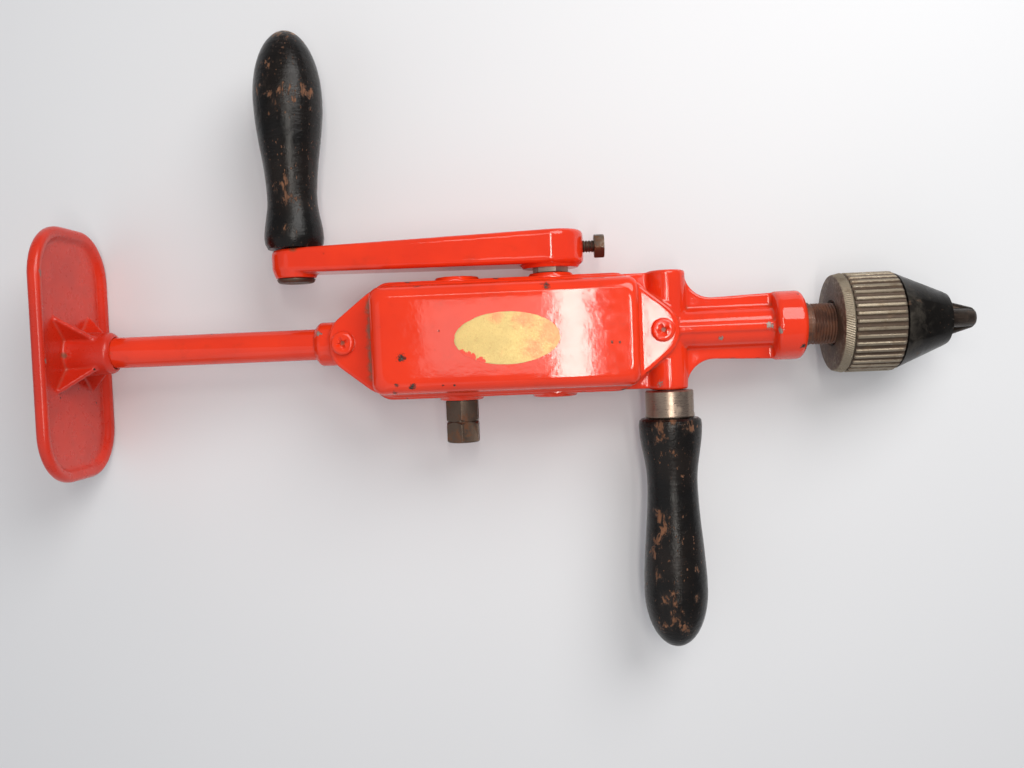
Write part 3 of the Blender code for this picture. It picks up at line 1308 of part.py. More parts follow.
def add_jaw(number, line, steel):
    """One jaw: a slanting bar cut to a third of a round, a turned tip and a tenon behind."""
    jaw = jaw_bar(f"chuck_jaw_{number + 1}", JAW_RADIUS, JAW_REAR, JAW_TIP, line, steel)
    jaw.matrix_local = jaw_turn(number)
    form_points = [
        (0, JAW_REAR),
        (JAW_BACK_RADIUS, JAW_REAR),
        (JAW_BACK_RADIUS, NOSE_FRONT),
        (JAW_TIP_SHOULDER_RADIUS, JAW_TIP - JAW_TIP_LENGTH),
        (JAW_TIP_RADIUS, JAW_TIP),
        (0, JAW_TIP),
    ]
    third = pi / JAW_COUNT
    ridge = JAW_SPLIT / 2 / sin(third)
    far = SLEEVE_RADIUS
    corners = [
        (ridge, 0),
        (ridge + far * cos(third), -far * sin(third)),
        (ridge + far, -far * sin(third)),
        (ridge + far, far * sin(third)),
        (ridge + far * cos(third), far * sin(third)),
    ]
    wedge_faces = [at_height(corners, JAW_REAR - OVERRUN), at_height(corners, JAW_TIP + OVERRUN)]
    low = (TENON_INNER, -TENON_HALF_WIDTH, CHUCK_CORE_FRONT - CHUCK_SLOT_DEPTH + GAP)
    high = (TENON_OUTER, TENON_HALF_WIDTH, JAW_REAR + TENON_OVERLAP)
    keep_inside(
        jaw,
        turned(f"jaw form {number + 1}", form_points, jaw),
        lofted(f"jaw wedge {number + 1}", wedge_faces, jaw),
    )
    fuse(jaw, block(f"jaw tenon {number + 1}", low, high, jaw))


def main():
    clear_scene()
    enamel = make_material("enamel", (0.80, 0.07, 0.02), 0.28, 0.0)
    dark_steel = make_material("dark_steel", (0.16, 0.12, 0.09), 0.48, 0.9)
    black_oxide = make_material("black_oxide", (0.055, 0.048, 0.042), 0.38, 0.8)
    knurled_steel = make_material("knurled_steel", (0.50, 0.45, 0.38), 0.38, 1.0)
    bright_steel = make_material("bright_steel", (0.66, 0.64, 0.61), 0.28, 1.0)
    gear_steel = make_material("gear_steel", (0.34, 0.32, 0.30), 0.42, 1.0)
    bronze = make_material("bronze", (0.50, 0.30, 0.13), 0.40, 1.0)
    lacquered_wood = make_material("lacquered_wood", (0.035, 0.02, 0.014), 0.35, 0.0)

    along_x = (0, pi / 2, 0)
    along_y = (-pi / 2, 0, 0)
    frame_place = (-MIDDLE_X, -MIDDLE_Y, PLATE_HALF_WIDTH)
    drill_frame = add_empty("drill_frame", frame_place)
    spindle_line = add_empty("spindle_line", (0, 0, 0), along_x, drill_frame)
    crank_line = add_empty("crank_line", (0, 0, 0), along_y, drill_frame)
    countershaft_line = add_empty("countershaft_line", (COUNTERSHAFT_X, 0, 0), along_y, drill_frame)
    handle_line = add_empty("crank_handle_line", (-CRANK_REACH, 0, 0), along_y, drill_frame)
    side_line = add_empty("side_handle_line", (CROSS_BOSS_X, 0, 0), (pi / 2, 0, 0), drill_frame)

    shaft_lines = (crank_line, countershaft_line)
    screw_places = {
        "cover_screw_rear": FLANGE_REAR + SCREW_REAR_INSET,
        "cover_screw_front": FLANGE_FRONT - SCREW_FRONT_INSET,
    }
    add_housing(drill_frame, spindle_line, shaft_lines, side_line, screw_places, enamel)
    add_cover(drill_frame, screw_places, enamel)
    for name, place in screw_places.items():
        add_cover_screw(name, place, drill_frame, enamel)
    add_back_tube(spindle_line, dark_steel)
    add_breast_plate(drill_frame, spindle_line, enamel)
    add_side_handle(side_line, lacquered_wood, bright_steel, dark_steel)

    crank_end = ARM_TOP - ARM_HEX_COVER
    crank_shaft = add_cross_shaft("crank_shaft", crank_line, 1, CRANK_HEX_TURN, crank_end, dark_steel)
    half_tooth = pi / SPUR_PINION_TEETH
    add_spur_gear("spur_pinion", SPUR_PINION_TEETH, half_tooth, crank_line, crank_shaft, gear_steel)
    add_bevel_gear(crank_line, crank_shaft, gear_steel)
    add_cross_bushes("crank", crank_line, 1, bronze)

    counter_end = HEX_START + HEX_STUB
    countershaft = add_cross_shaft("countershaft", countershaft_line, -1, 0, counter_end, dark_steel)
    cut_hex_groove(countershaft, countershaft_line)
    add_spur_gear("spur_gear", SPUR_GEAR_TEETH, 0, countershaft_line, countershaft, gear_steel)
    add_cross_bushes("countershaft", countershaft_line, -1, bronze)

    spindle = add_spindle(spindle_line, dark_steel)
    add_bevel_pinion(spindle_line, spindle, gear_steel)
    add_spindle_bearings(spindle_line, bronze, gear_steel)

    add_crank_arm(crank_line, enamel)
    add_set_screw(crank_line, dark_steel)
    add_handle_axle(handle_line, dark_steel)
    add_crank_handle(handle_line, lacquered_wood)

    add_chuck_body(spindle_line, knurled_steel)
    add_retaining_ring(spindle_line, dark_steel)
    add_chuck_sleeve(spindle_line, knurled_steel)
    add_chuck_nose(spindle_line, black_oxide)
    for number in range(JAW_COUNT):
        add_jaw(number, spindle_line, black_oxide)


main()
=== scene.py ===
"""The looks of the geared hand drill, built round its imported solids.

Metres, +Z up, in the same frame as the solids. Castings are softened copies of the solids' own
forms, and turned and threaded pieces are drawn again with finer facets.
"""

from math import acos, atan2, cos, pi, radians, sin, tan

import bmesh
import bpy
import numpy as np
from mathutils import Euler, Matrix, Vector, noise


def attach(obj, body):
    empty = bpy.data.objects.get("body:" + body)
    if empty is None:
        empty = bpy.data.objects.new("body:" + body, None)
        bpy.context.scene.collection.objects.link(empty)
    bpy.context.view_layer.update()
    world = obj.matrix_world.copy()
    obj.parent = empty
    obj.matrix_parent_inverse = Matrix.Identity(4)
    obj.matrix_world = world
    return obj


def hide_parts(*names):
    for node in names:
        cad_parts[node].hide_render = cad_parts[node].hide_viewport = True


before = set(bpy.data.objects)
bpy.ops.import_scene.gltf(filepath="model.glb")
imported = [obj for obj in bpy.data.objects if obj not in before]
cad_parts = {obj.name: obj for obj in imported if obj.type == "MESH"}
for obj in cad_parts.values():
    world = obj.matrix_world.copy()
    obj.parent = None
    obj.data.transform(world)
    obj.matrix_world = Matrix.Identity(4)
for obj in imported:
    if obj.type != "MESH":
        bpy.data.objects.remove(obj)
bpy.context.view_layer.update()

# The gap between pieces, and how far a cutter runs past what it cuts
GAP = 0.0003
OVERRUN = 0.003

# Gears
SPUR_MODULE = 0.0014
SPUR_PINION_TEETH = 24
SPUR_GEAR_TEETH = 36
BEVEL_MODULE = 0.00125
BEVEL_GEAR_TEETH = 32
BEVEL_PINION_HUB = 0.0047

# Shafts, bushes and pins
CROSS_SHAFT_RADIUS = 0.006
CROSS_SHAFT_JOURNAL = 0.005
HEX_ACROSS_FLATS = 0.014
HEX_STUB = 0.0188
HEX_CHAMFER = 0.001
HEX_GROOVE_PLACE = 0.0094
HEX_GROOVE_DEPTH = 0.0012
HEX_GROOVE_HALF = 0.0012
CRANK_HEX_TURN = radians(17)
SPINDLE_TAIL = 0.0125
SPINDLE_SEAT_RADIUS = 0.0045
SPINDLE_REAR_RADIUS = 0.005
SPINDLE_RADIUS = 0.006
SPINDLE_NOSE_RADIUS = 0.00915
SPINDLE_NOSE_LENGTH = 0.0173
SPINDLE_NOSE_CHAMFER = 0.001
BUSH_RADIUS = 0.008
THRUST_WASHER_THICKNESS = 0.0015

# Housing
GEAR_ROOM = 0.0009
CAVITY_HALF_WIDTH = 0.0225
CAVITY_REAR_ROOM = 0.0089
CAVITY_CORNER = 0.0045
SIDE_WALL = 0.0035
FLOOR_WALL = 0.0025
REAR_WALL = 0.0025
FRONT_WALL = 0.011
TUB_CORNER = 0.0085
TUB_EDGE = 0.0055
SPLIT_HEIGHT = 0.010
SHAFT_BOSS_RADIUS = 0.0098
SHAFT_BOSS_OUTSIDE = 0.0015
SHAFT_BOSS_INSIDE = 0.002
CROSS_BOSS_AHEAD = 0.015
CROSS_BOSS_RADIUS = 0.0086
CROSS_BOSS_HALF_LENGTH = 0.0265
CROSS_BOSS_EDGE = 0.0008
CROSS_BOSS_SOLID_HALF = 0.012
NOSE_TUBE_RADIUS = 0.009
NOSE_BORE_RADIUS = 0.0066
NOSE_LENGTH = 0.0751
NOSE_RIB_HALF_WIDTH = 0.00175
NOSE_RIB_HEIGHT = 0.001
END_RING_LENGTH = 0.0139
END_RING_RADIUS = 0.0153
END_RING_EDGE_RADIUS = 0.006
END_RING_EDGE_LENGTH = 0.0033
END_RING_REAR_EDGE = 0.0012
FRONT_BUSH_LENGTH = 0.0130
REAR_BUSH_LENGTH = 0.0102
WEB_HALF_THICKNESS = 0.002
WEB_START_AHEAD = 0.008
WEB_BOSS_HALF_WIDTH = 0.0258
WEB_WAIST_HALF_WIDTH = 0.0132
WEB_FRONT_HALF_WIDTH = 0.0149
WEB_FILLET = 0.0121

# Flange outline, shared by the housing and its cover
FLANGE_HALF_WIDTH = 0.0252
FLANGE_THICKNESS = 0.0025
FLANGE_REAR_REACH = 0.0187
FLANGE_REAR_HALF_WIDTH = 0.0073
FLANGE_REAR_SHOULDER = 0.004
FLANGE_FRONT_REACH = 0.0191
FLANGE_FRONT_HALF_WIDTH = 0.00645
FLANGE_FRONT_SHOULDER = 0.004
FLANGE_REAR_CORNER = 0.0125
FLANGE_SHOULDER_CORNER = 0.012
FLANGE_REAR_SHOULDER_CORNER = 0.024
FLANGE_TIP_CORNER = 0.0132
NECK_DEPTH = 0.012
NECK_OVERLAP = 0.020
FRONT_PAD_OVERLAP = 0.012
NECK_EDGE = 0.0055
FRONT_PAD_DEPTH = 0.008

# Cover box
COVER_TOP_HEIGHT = 0.020
COVER_HALF_WIDTH = 0.0238
COVER_DRAFT = 0.0008
COVER_WALL = 0.0025
COVER_REAR_INSET = 0.0022
COVER_FRONT_OVERHANG = 0.0012
COVER_CORNER = 0.0045
COVER_SIDE_EDGE = 0.0055
COVER_REAR_EDGE = 0.006
COVER_FRONT_EDGE = 0.003

# Cover screws
SCREW_RADIUS = 0.0025
SCREW_HEAD_RADIUS = 0.0052
SCREW_HEAD_HEIGHT = 0.003
SCREW_DEPTH = 0.0023
SCREW_REAR_INSET = 0.0067
SCREW_FRONT_INSET = 0.0075
SCREW_SLOT_HALF_WIDTH = 0.0007
SCREW_SLOT_HALF_LENGTH = 0.0028
SCREW_SLOT_DEPTH = 0.0016

# Back tube, its collar and the breast plate
TUBE_RADIUS = 0.0070
TUBE_WALL = 0.0012
TUBE_LENGTH = 0.132
TUBE_SEAT_DEPTH = 0.0223
COLLAR_RADIUS = 0.0099
COLLAR_REACH = 0.0079
COLLAR_EDGE = 0.0022
PLATE_HALF_WIDTH = 0.0325
PLATE_HALF_LENGTH = 0.0573
PLATE_CORNER = 0.0235
PLATE_FLOOR = 0.0030
PLATE_LIP_HEIGHT = 0.0030
PLATE_LIP_WIDTH = 0.0042
LIP_CREST_SHARE = 0.35
LIP_DROP_SHARE = 0.2
PLATE_BACK_EDGE = 0.0028
PLATE_TRAY_SLOPE = 0.0022
PLATE_BOSS_RADIUS = 0.0105
PLATE_BOSS_TAPER = 0.0011
PLATE_BOSS_LENGTH = 0.020
PLATE_BOSS_EDGE = 0.0016
PLATE_BORE_FLOOR = 0.0054
PLATE_RIB_REACH = 0.0235
PLATE_RIB_HALF_THICKNESS = 0.0011
PLATE_RIB_HEIGHT = 0.0155

# Crank arm
CRANK_REACH = 0.1148
ARM_HUB_RADIUS = 0.015
ARM_END_RADIUS = 0.0104
ARM_STAND_OFF = 0.0022
ARM_HUB_THICKNESS = 0.0162
ARM_END_OFFSET = 0.0025
ARM_END_THICKNESS = 0.0110
ARM_EDGE = 0.0022
ARM_HUB_PAD_RADIUS = 0.0128
ARM_HUB_PAD_HEIGHT = 0.0014
ARM_END_PAD_HEIGHT = 0.0021
ARM_END_PAD_TAPER = 0.0014
ARM_HEX_COVER = 0.0019
SET_SCREW_RADIUS = 0.00275
SET_SCREW_NECK = 0.0048
SET_SCREW_HEAD_LENGTH = 0.0045
SET_SCREW_ACROSS_FLATS = 0.0098
SET_SCREW_SIDESTEP = 0.0010
SET_SCREW_CHAMFER = 0.0007

# Crank handle
AXLE_RADIUS = 0.004
AXLE_HEAD_RADIUS = 0.0085
AXLE_HEAD_HEIGHT = 0.0020
AXLE_EDGE_HEIGHT = 0.0018
AXLE_REACH_IN_GRIP = 0.072
HANDLE_BASE_RADIUS = 0.0118
HANDLE_SHOULDER_RADIUS = 0.0132
HANDLE_SHOULDER_PLACE = 0.0045
HANDLE_NECK_RADIUS = 0.0111
HANDLE_NECK_PLACE = 0.022
HANDLE_BULGE_RADIUS = 0.0153
HANDLE_BULGE_PLACE = 0.067
HANDLE_LENGTH = 0.0974

# Side handle
FERRULE_RADIUS = 0.0107
FERRULE_WALL = 0.0011
FERRULE_LENGTH = 0.0125
STUD_RADIUS = 0.005
STUD_REACH_IN_GRIP = 0.060
SIDE_SHOULDER_RADIUS = 0.0140
SIDE_SHOULDER_PLACE = 0.0028
SIDE_NECK_RADIUS = 0.0112
SIDE_NECK_PLACE = 0.0288
SIDE_BULGE_RADIUS = 0.01415
SIDE_BULGE_PLACE = 0.0778
SIDE_GRIP_LENGTH = 0.1033
GRIP_TAIL_CLEARANCE = 0.0012

# Chuck
CHUCK_FLANGE_THICKNESS = 0.0045
CHUCK_FLANGE_SLANT = 0.0008
CHUCK_SET_BACK = 0.0070
CHUCK_CORE_RADIUS = 0.0148
CHUCK_CORE_LENGTH = 0.0212
CHUCK_SLOT_DEPTH = 0.005
SLEEVE_RADIUS = 0.022
SLEEVE_LENGTH = 0.0213
SLEEVE_LIP = 0.0036
SLEEVE_WALL = 0.0027
RIDGE_COUNT = 40
RIDGE_DEPTH = 0.001
RING_GROOVE_DEPTH = 0.0008
RING_THICKNESS = 0.0013
NOSE_REAR_RADIUS = 0.021
NOSE_FRONT_RADIUS = 0.0122
NOSE_CONE_LENGTH = 0.0211
NOSE_FRONT_EDGE = 0.0017
NOSE_REAR_EDGE = 0.0006
NOSE_SKIRT_WALL = 0.0028
NOSE_SKIRT_LENGTH = 0.0157
NOSE_CAVITY_REAR_RADIUS = 0.009
NOSE_CAVITY_FRONT_RADIUS = 0.0055
JAW_ANGLE = radians(20)
JAW_COUNT = 3
JAW_RADIUS = 0.00415
JAW_AXIS_AT_NOSE = 0.0046
JAW_REACH = 0.0131
JAW_BACK_RADIUS = 0.0124
JAW_TIP_RADIUS = 0.0034
JAW_TIP_SHOULDER_RADIUS = 0.0052
JAW_TIP_LENGTH = 0.0020
JAW_SPLIT = 0.0004
TENON_HALF_WIDTH = 0.002
TENON_INNER = 0.0063
TENON_OUTER = 0.0103
TENON_OVERLAP = 0.0042
NOSE_TRAVEL = 0.012

# Places in the drill frame, worked out from the sizes above
COUNTERSHAFT_X = -SPUR_MODULE * (SPUR_PINION_TEETH + SPUR_GEAR_TEETH) / 2
SPUR_GEAR_TIP = SPUR_MODULE * (SPUR_GEAR_TEETH / 2 + 1)
HEEL_ON_SPINDLE = BEVEL_MODULE * BEVEL_GEAR_TEETH / 2
CAVITY_REACH = SPUR_GEAR_TIP + GEAR_ROOM
CAVITY_REAR = COUNTERSHAFT_X - SPUR_GEAR_TIP - CAVITY_REAR_ROOM
CAVITY_FRONT = HEEL_ON_SPINDLE + BEVEL_PINION_HUB + GAP
TUB_REAR = CAVITY_REAR - REAR_WALL
TUB_FRONT = CAVITY_FRONT + FRONT_WALL
TUB_HALF_WIDTH = CAVITY_HALF_WIDTH + SIDE_WALL
TUB_BOTTOM = -CAVITY_REACH - FLOOR_WALL
BOSS_FACE = TUB_HALF_WIDTH + SHAFT_BOSS_OUTSIDE
BOSS_INNER_FACE = CAVITY_HALF_WIDTH - SHAFT_BOSS_INSIDE
HUB_FACE = BOSS_INNER_FACE - GAP
CROSS_BOSS_X = TUB_FRONT + CROSS_BOSS_AHEAD
FLANGE_REAR = TUB_REAR - FLANGE_REAR_REACH
FLANGE_FRONT = TUB_FRONT + FLANGE_FRONT_REACH
FLANGE_BASE = SPLIT_HEIGHT + GAP
FLANGE_TOP = FLANGE_BASE + FLANGE_THICKNESS
COVER_TOP = SPLIT_HEIGHT + COVER_TOP_HEIGHT
COLLAR_REAR = FLANGE_REAR - COLLAR_REACH
TUBE_SEAT = COLLAR_REAR + TUBE_SEAT_DEPTH
TUBE_FRONT = TUBE_SEAT - GAP
TUBE_REAR = TUBE_FRONT - TUBE_LENGTH
PLATE_BORE_END = TUBE_REAR - GAP
PLATE_BACK = PLATE_BORE_END - PLATE_BORE_FLOOR
PLATE_TRAY = PLATE_BACK + PLATE_FLOOR
PLATE_FRONT = PLATE_TRAY + PLATE_LIP_HEIGHT
PLATE_BOSS_FRONT = PLATE_TRAY + PLATE_BOSS_LENGTH
NOSE_ROOT = TUB_FRONT - FRONT_WALL / 2
RING_FACE = TUB_FRONT + NOSE_LENGTH
RING_MIDDLE = RING_FACE - END_RING_LENGTH / 2
FRONT_BUSH_REAR = RING_FACE - FRONT_BUSH_LENGTH
WASHER_REAR = RING_FACE + GAP
COLLAR_FACE = WASHER_REAR + THRUST_WASHER_THICKNESS + GAP
SPINDLE_END = COLLAR_FACE + SPINDLE_NOSE_LENGTH
CHUCK_REAR = SPINDLE_END - CHUCK_SET_BACK
CHUCK_FLANGE_FRONT = CHUCK_REAR + CHUCK_FLANGE_THICKNESS
CHUCK_CORE_FRONT = CHUCK_FLANGE_FRONT + CHUCK_CORE_LENGTH
SLEEVE_REAR = CHUCK_FLANGE_FRONT + GAP
SLEEVE_FRONT = SLEEVE_REAR + SLEEVE_LENGTH
SLEEVE_LIP_FRONT = SLEEVE_REAR + SLEEVE_LIP
SLEEVE_BORE = SLEEVE_RADIUS - RIDGE_DEPTH - SLEEVE_WALL
RING_REAR = SLEEVE_LIP_FRONT + GAP
RING_FRONT = RING_REAR + RING_THICKNESS
CONE_REAR = SLEEVE_FRONT + GAP
CONE_FRONT = CONE_REAR + NOSE_CONE_LENGTH
NOSE_FRONT = CONE_FRONT + NOSE_FRONT_EDGE
SKIRT_REAR = CONE_REAR - NOSE_SKIRT_LENGTH
SKIRT_RADIUS = SLEEVE_BORE - GAP
SKIRT_BORE = SKIRT_RADIUS - NOSE_SKIRT_WALL
JAW_TIP = NOSE_FRONT + JAW_REACH
JAW_REAR = CHUCK_CORE_FRONT + GAP
JAW_TRAVEL = NOSE_TRAVEL * tan(JAW_ANGLE)
HEX_START = BOSS_FACE + GAP
HEX_CORNER = HEX_ACROSS_FLATS / 2 / cos(pi / 6)
SPINDLE_SHOULDER = CAVITY_FRONT + REAR_BUSH_LENGTH + GAP
ARM_FACE = BOSS_FACE + ARM_STAND_OFF
ARM_END_FACE = ARM_FACE + ARM_END_OFFSET
ARM_END_TOP = ARM_END_FACE + ARM_END_THICKNESS
ARM_TOP = ARM_FACE + ARM_HUB_THICKNESS
SET_SCREW_HEIGHT = (ARM_FACE + ARM_TOP) / 2 + SET_SCREW_SIDESTEP
ARM_END_PAD_FACE = ARM_END_FACE - ARM_END_PAD_HEIGHT
HANDLE_BASE = ARM_END_TOP + GAP
HANDLE_TIP = HANDLE_BASE + HANDLE_LENGTH
SIDE_FERRULE_FACE = CROSS_BOSS_HALF_LENGTH + GAP
SIDE_GRIP_FACE = SIDE_FERRULE_FACE + FERRULE_LENGTH
SIDE_TIP = SIDE_GRIP_FACE + SIDE_GRIP_LENGTH
MIDDLE_X = (PLATE_BACK + JAW_TIP) / 2
MIDDLE_Y = (HANDLE_TIP - SIDE_TIP) / 2

# Facets and details that only the shown pieces have
ROUND_SIDES = 96
SMALL_SIDES = 48
CORNER_STEPS = 8
QUARTER = [pi / 2 * step / CORNER_STEPS for step in range(CORNER_STEPS + 1)]
CAST_VOXEL = 0.0006
CAST_PASSES = 5
WELD = 0.000002
SCREW_TURN = radians(24)
SCREW_SOFT_EDGE = 0.00018
SCREW_SLOT_FOOT = 0.35
SCREW_SLOT_MOUTH = 1.6
SCREW_SLOT_TAPER = 0.3
TUBE_RINGS = 40
GRIP_SWELL_STEPS = 22
GRIP_DOME_STEPS = 16
GRIP_WAVE = 0.016
GRIP_WAVE_DEPTH = 0.00012
CRANK_GRIP_SEED = 0.0
SIDE_GRIP_SEED = 3.0
TAN_REACH = 0.0125
CENTRE_RADIUS = 0.0016
HEX_SOFT_EDGE = 0.00035
SET_SCREW_TURN = radians(12)
THREAD_PITCH = 0.00125
THREAD_DEPTH = 0.0005
THREAD_STEPS = 8
SPINDLE_SEAT_END = CAVITY_FRONT - GAP
KNURL_EDGE = 0.0007
RIDGE_END_DEPTH = 0.0008
FLANGE_CREST_DEPTH = 0.0025
RIDGE_FLANK = ((0.28, 0.05), (0.42, 0.30), (0.62, 0.92), (0.82, 1.0))
RIDGE_FORM = [(-share, sink) for share, sink in reversed(RIDGE_FLANK)] + [(0.0, 0.0), *RIDGE_FLANK]
NOSE_SOFT_EDGE = 0.0003
JAW_SOFT_EDGE = 0.0002
SERRATIONS = 132
SERRATION_FORM = (0, 0.5, 1, 0.5)
SERRATION_DEPTH = 0.00022
SERRATION_LEAN = 17.0
STICKER_X = -0.0194
STICKER_Y = -0.0009
STICKER_HALF_LENGTH = 0.0223
STICKER_HALF_WIDTH = 0.0111
STICKER_THICKNESS = 0.00012
STICKER_RINGS = 24
STICKER_SIDES = 240
STICKER_NIBBLES = 6
STICKER_NIBBLE_SHARE = 0.025
SCREW_PLACES = {
    "cover_screw_rear": FLANGE_REAR + SCREW_REAR_INSET,
    "cover_screw_front": FLANGE_FRONT - SCREW_FRONT_INSET,
}

# Chips, dirt and rubbed places in the drill frame: x, y, z and radius
HOUSING_CHIPS = [(0.1078, -0.0095, 0.0119, 0.0026)]
HOUSING_NICKS = [
    (-0.1040, 0.0046, 0.0088, 0.0030),
    (0.0735, -0.0048, 0.0080, 0.0026),
    (0.0462, -0.0237, 0.0071, 0.0028),
    (0.0944, 0.0002, 0.0100, 0.0036),
    (0.0976, -0.0022, 0.0142, 0.0032),
]
HOUSING_DIRT = [(-0.0820, 0.0, 0.0100, 0.008)]
COVER_CHIPS = [
    (-0.0563, 0.0218, 0.0262, 0.0028),
    (-0.0023, 0.0201, 0.0283, 0.0034),
    (-0.0643, -0.0075, 0.0300, 0.0034),
    (-0.0600, -0.0195, 0.0289, 0.0030),
    (-0.0667, -0.0188, 0.0293, 0.0020),
    (-0.0475, -0.0195, 0.0289, 0.0016),
    (-0.0684, -0.0213, 0.0270, 0.0026),
    (0.0243, -0.0044, 0.0300, 0.0013),
    (0.0276, -0.0046, 0.0300, 0.0011),
]
COVER_DIRT = [(-0.0789, step * 0.0025, 0.0136, 0.0052) for step in range(-6, 8)]
STICKER_RUBS = [
    (0.0005, 0.0015, 0.0300, 0.0150),
    (-0.0075, -0.0060, 0.0300, 0.0090),
    (-0.0120, 0.0070, 0.0300, 0.0080),
    (-0.0240, 0.0085, 0.0300, 0.0050),
]
STICKER_TEARS = [
    (-0.0392, -0.0075, 0.0300, 0.0042),
    (-0.0355, -0.0092, 0.0300, 0.0046),
    (-0.0312, -0.0106, 0.0300, 0.0036),
]
PLATE_NICKS = [(-0.2164, 0.0353, 0.0295, 0.0034), (-0.2167, -0.0025, 0.0291, 0.0030)]
PLATE_DIRT = [(-0.2180, 0.0, 0.0110, 0.003)]
TUBE_CHIPS = [(-0.1459, -0.0061, 0.0015, 0.0020)]
TUBE_DIRT = [(-0.1990, 0.0, 0.0050, 0.004)]
ARM_CHIPS = [(-0.1200, 0.0365, 0.0080, 0.0014)]
ARM_DIRT = [(-0.1130, 0.0430, 0.0100, 0.004)]
CRANK_GRIP_RUBS = [
    (-0.1193, 0.1232, 0.0129, 0.0042),
    (-0.1151, 0.1232, 0.0137, 0.0031),
    (-0.1208, 0.1145, 0.0135, 0.0039),
    (-0.1247, 0.1118, 0.0113, 0.0049),
    (-0.1194, 0.1111, 0.0145, 0.0056),
    (-0.1140, 0.1106, 0.0152, 0.0059),
    (-0.1090, 0.1111, 0.0140, 0.0059),
    (-0.1049, 0.1108, 0.0114, 0.0053),
    (-0.1021, 0.1110, 0.0083, 0.0049),
    (-0.1089, 0.1065, 0.0137, 0.0042),
    (-0.1165, 0.1057, 0.0148, 0.0042),
    (-0.1148, 0.0713, 0.0114, 0.0070),
    (-0.1139, 0.0656, 0.0110, 0.0084),
    (-0.1145, 0.0505, 0.0130, 0.0056),
    (-0.1112, 0.0491, 0.0126, 0.0050),
    (-0.1148, 0.1385, 0.0030, 0.0150),
    (-0.1180, 0.0960, -0.0130, 0.0112),
    (-0.1050, 0.0700, -0.0080, 0.0084),
]
SIDE_GRIP_RUBS = [
    (0.0450, -0.0410, 0.0118, 0.0070),
    (0.0509, -0.0410, 0.0135, 0.0063),
    (0.0570, -0.0431, 0.0124, 0.0063),
    (0.0444, -0.0479, 0.0117, 0.0056),
    (0.0497, -0.0533, 0.0127, 0.0042),
    (0.0435, -0.0814, 0.0089, 0.0084),
    (0.0453, -0.0878, 0.0106, 0.0063),
    (0.0418, -0.0925, 0.0085, 0.0063),
    (0.0404, -0.0984, 0.0078, 0.0056),
    (0.0419, -0.1085, 0.0103, 0.0063),
    (0.0457, -0.1182, 0.0129, 0.0077),
    (0.0493, -0.1273, 0.0125, 0.0070),
    (0.0542, -0.1324, 0.0108, 0.0070),
    (0.0443, -0.1311, 0.0096, 0.0063),
    (0.0585, -0.1176, 0.0118, 0.0042),
    (0.0590, -0.1058, 0.0112, 0.0035),
    (0.0590, -0.1080, -0.0110, 0.0126),
    (0.0500, -0.0600, -0.0110, 0.0084),
]

# Camera, lamps and floor
CAMERA_PLACE = (-0.003415, -0.006362, 0.4275)
CAMERA_TURNS = (0.035, -0.037, 0.040)
FOCAL_PIXELS = 950.0
IMAGE_WIDTH = 1024
CLIP_START = 0.01
SENSOR_WIDTH = 36.0
FLOOR_REACH = 2.5
WORLD_STRENGTH = 0.30
WHITE = (1.0, 1.0, 1.0)
CREAM = (1.0, 0.985, 0.96)
WARM = (1.0, 0.95, 0.88)
SKY_TONE = (0.90, 0.93, 1.0)
FLOOR_PATCH = 0.25
FLOOR_ROUGHNESS = 0.55
FLOOR_TONES = ((0.70, 0.71, 0.73), (0.73, 0.74, 0.76))

# Soft boxes: shape, place, aim, width and height, power and colour
LAMPS = {
    "key": ("ELLIPSE", (0.36, 0.46, 0.62), (0, 0, 0), (0.55, 0.55), 4.3, CREAM),
    "fill": ("RECTANGLE", (-0.75, -0.50, 0.75), (0, 0, 0), (1.4, 1.4), 2.3, WHITE),
    "front": ("RECTANGLE", (0.10, -0.9, 0.45), (0, 0, 0.03), (1.2, 1.2), 1.0, WHITE),
    "strip": ("RECTANGLE", (-0.02, 0.27, 0.75), (-0.02, 0.02, 0.06), (0.32, 0.10), 0.45, WARM),
    "window": ("RECTANGLE", (0.048, 0.010, 0.78), (0.048, 0.010, 0), (0.042, 0.500), 1.50, WARM),
    "window side": ("RECTANGLE", (-0.05, 0.0156, 0.78), (-0.05, 0.0156, 0), (0.160, 0.098), 0.13, WARM),
    "window front": ("RECTANGLE", (0.153, 0.0065, 0.78), (0.153, 0.0065, 0), (0.040, 0.122), 0.34, WARM),
}

# Widths of the marks in the skins, and depths of their bumps
ENAMEL_PATCH = 0.035
ENAMEL_SMUDGE = 0.012
ENAMEL_FLECK = 0.0075
ENAMEL_MOTTLE = 0.0042
ENAMEL_CHIP = 0.0013
ENAMEL_GRAIN = 0.0009
ENAMEL_GRAIN_DEPTH = 0.000006
ENAMEL_PEEL = 0.0100
ENAMEL_PEEL_DEPTH = 0.00006
COAT_DEPTH = 0.00012
WOOD_PATCH = 0.022
WOOD_SHINE = 0.006
WOOD_STREAK = 0.0030
WOOD_FLECK = 0.0012
WOOD_GRAIN = 0.0022
WOOD_GRAIN_DEPTH = 0.00008
WOOD_RINGS = 0.0011
WOOD_RINGS_DEPTH = 0.00016
WOOD_DUST = 0.0010
WOOD_DUST_DEPTH = 0.00006
WOOD_DENT = 0.005
WOOD_DENT_DEPTH = 0.00022
STEEL_PATCH = 0.006
RUST_GRAIN = 0.0010
RUST_SCALE_DEPTH = 0.00010
RUST_PIT = 0.0007
RUST_PIT_DEPTH = 0.00006
KNURL_GROOVE_FRAY = 0.0022
KNURL_GRAIN = 0.0008
KNURL_PIT = 0.0006
KNURL_PIT_DEPTH = 0.00010
OXIDE_MOTTLE = 0.0050
OXIDE_MOTTLE_DEPTH = 0.00008
OXIDE_RUST = 0.0032
OXIDE_GRAIN = 0.0009
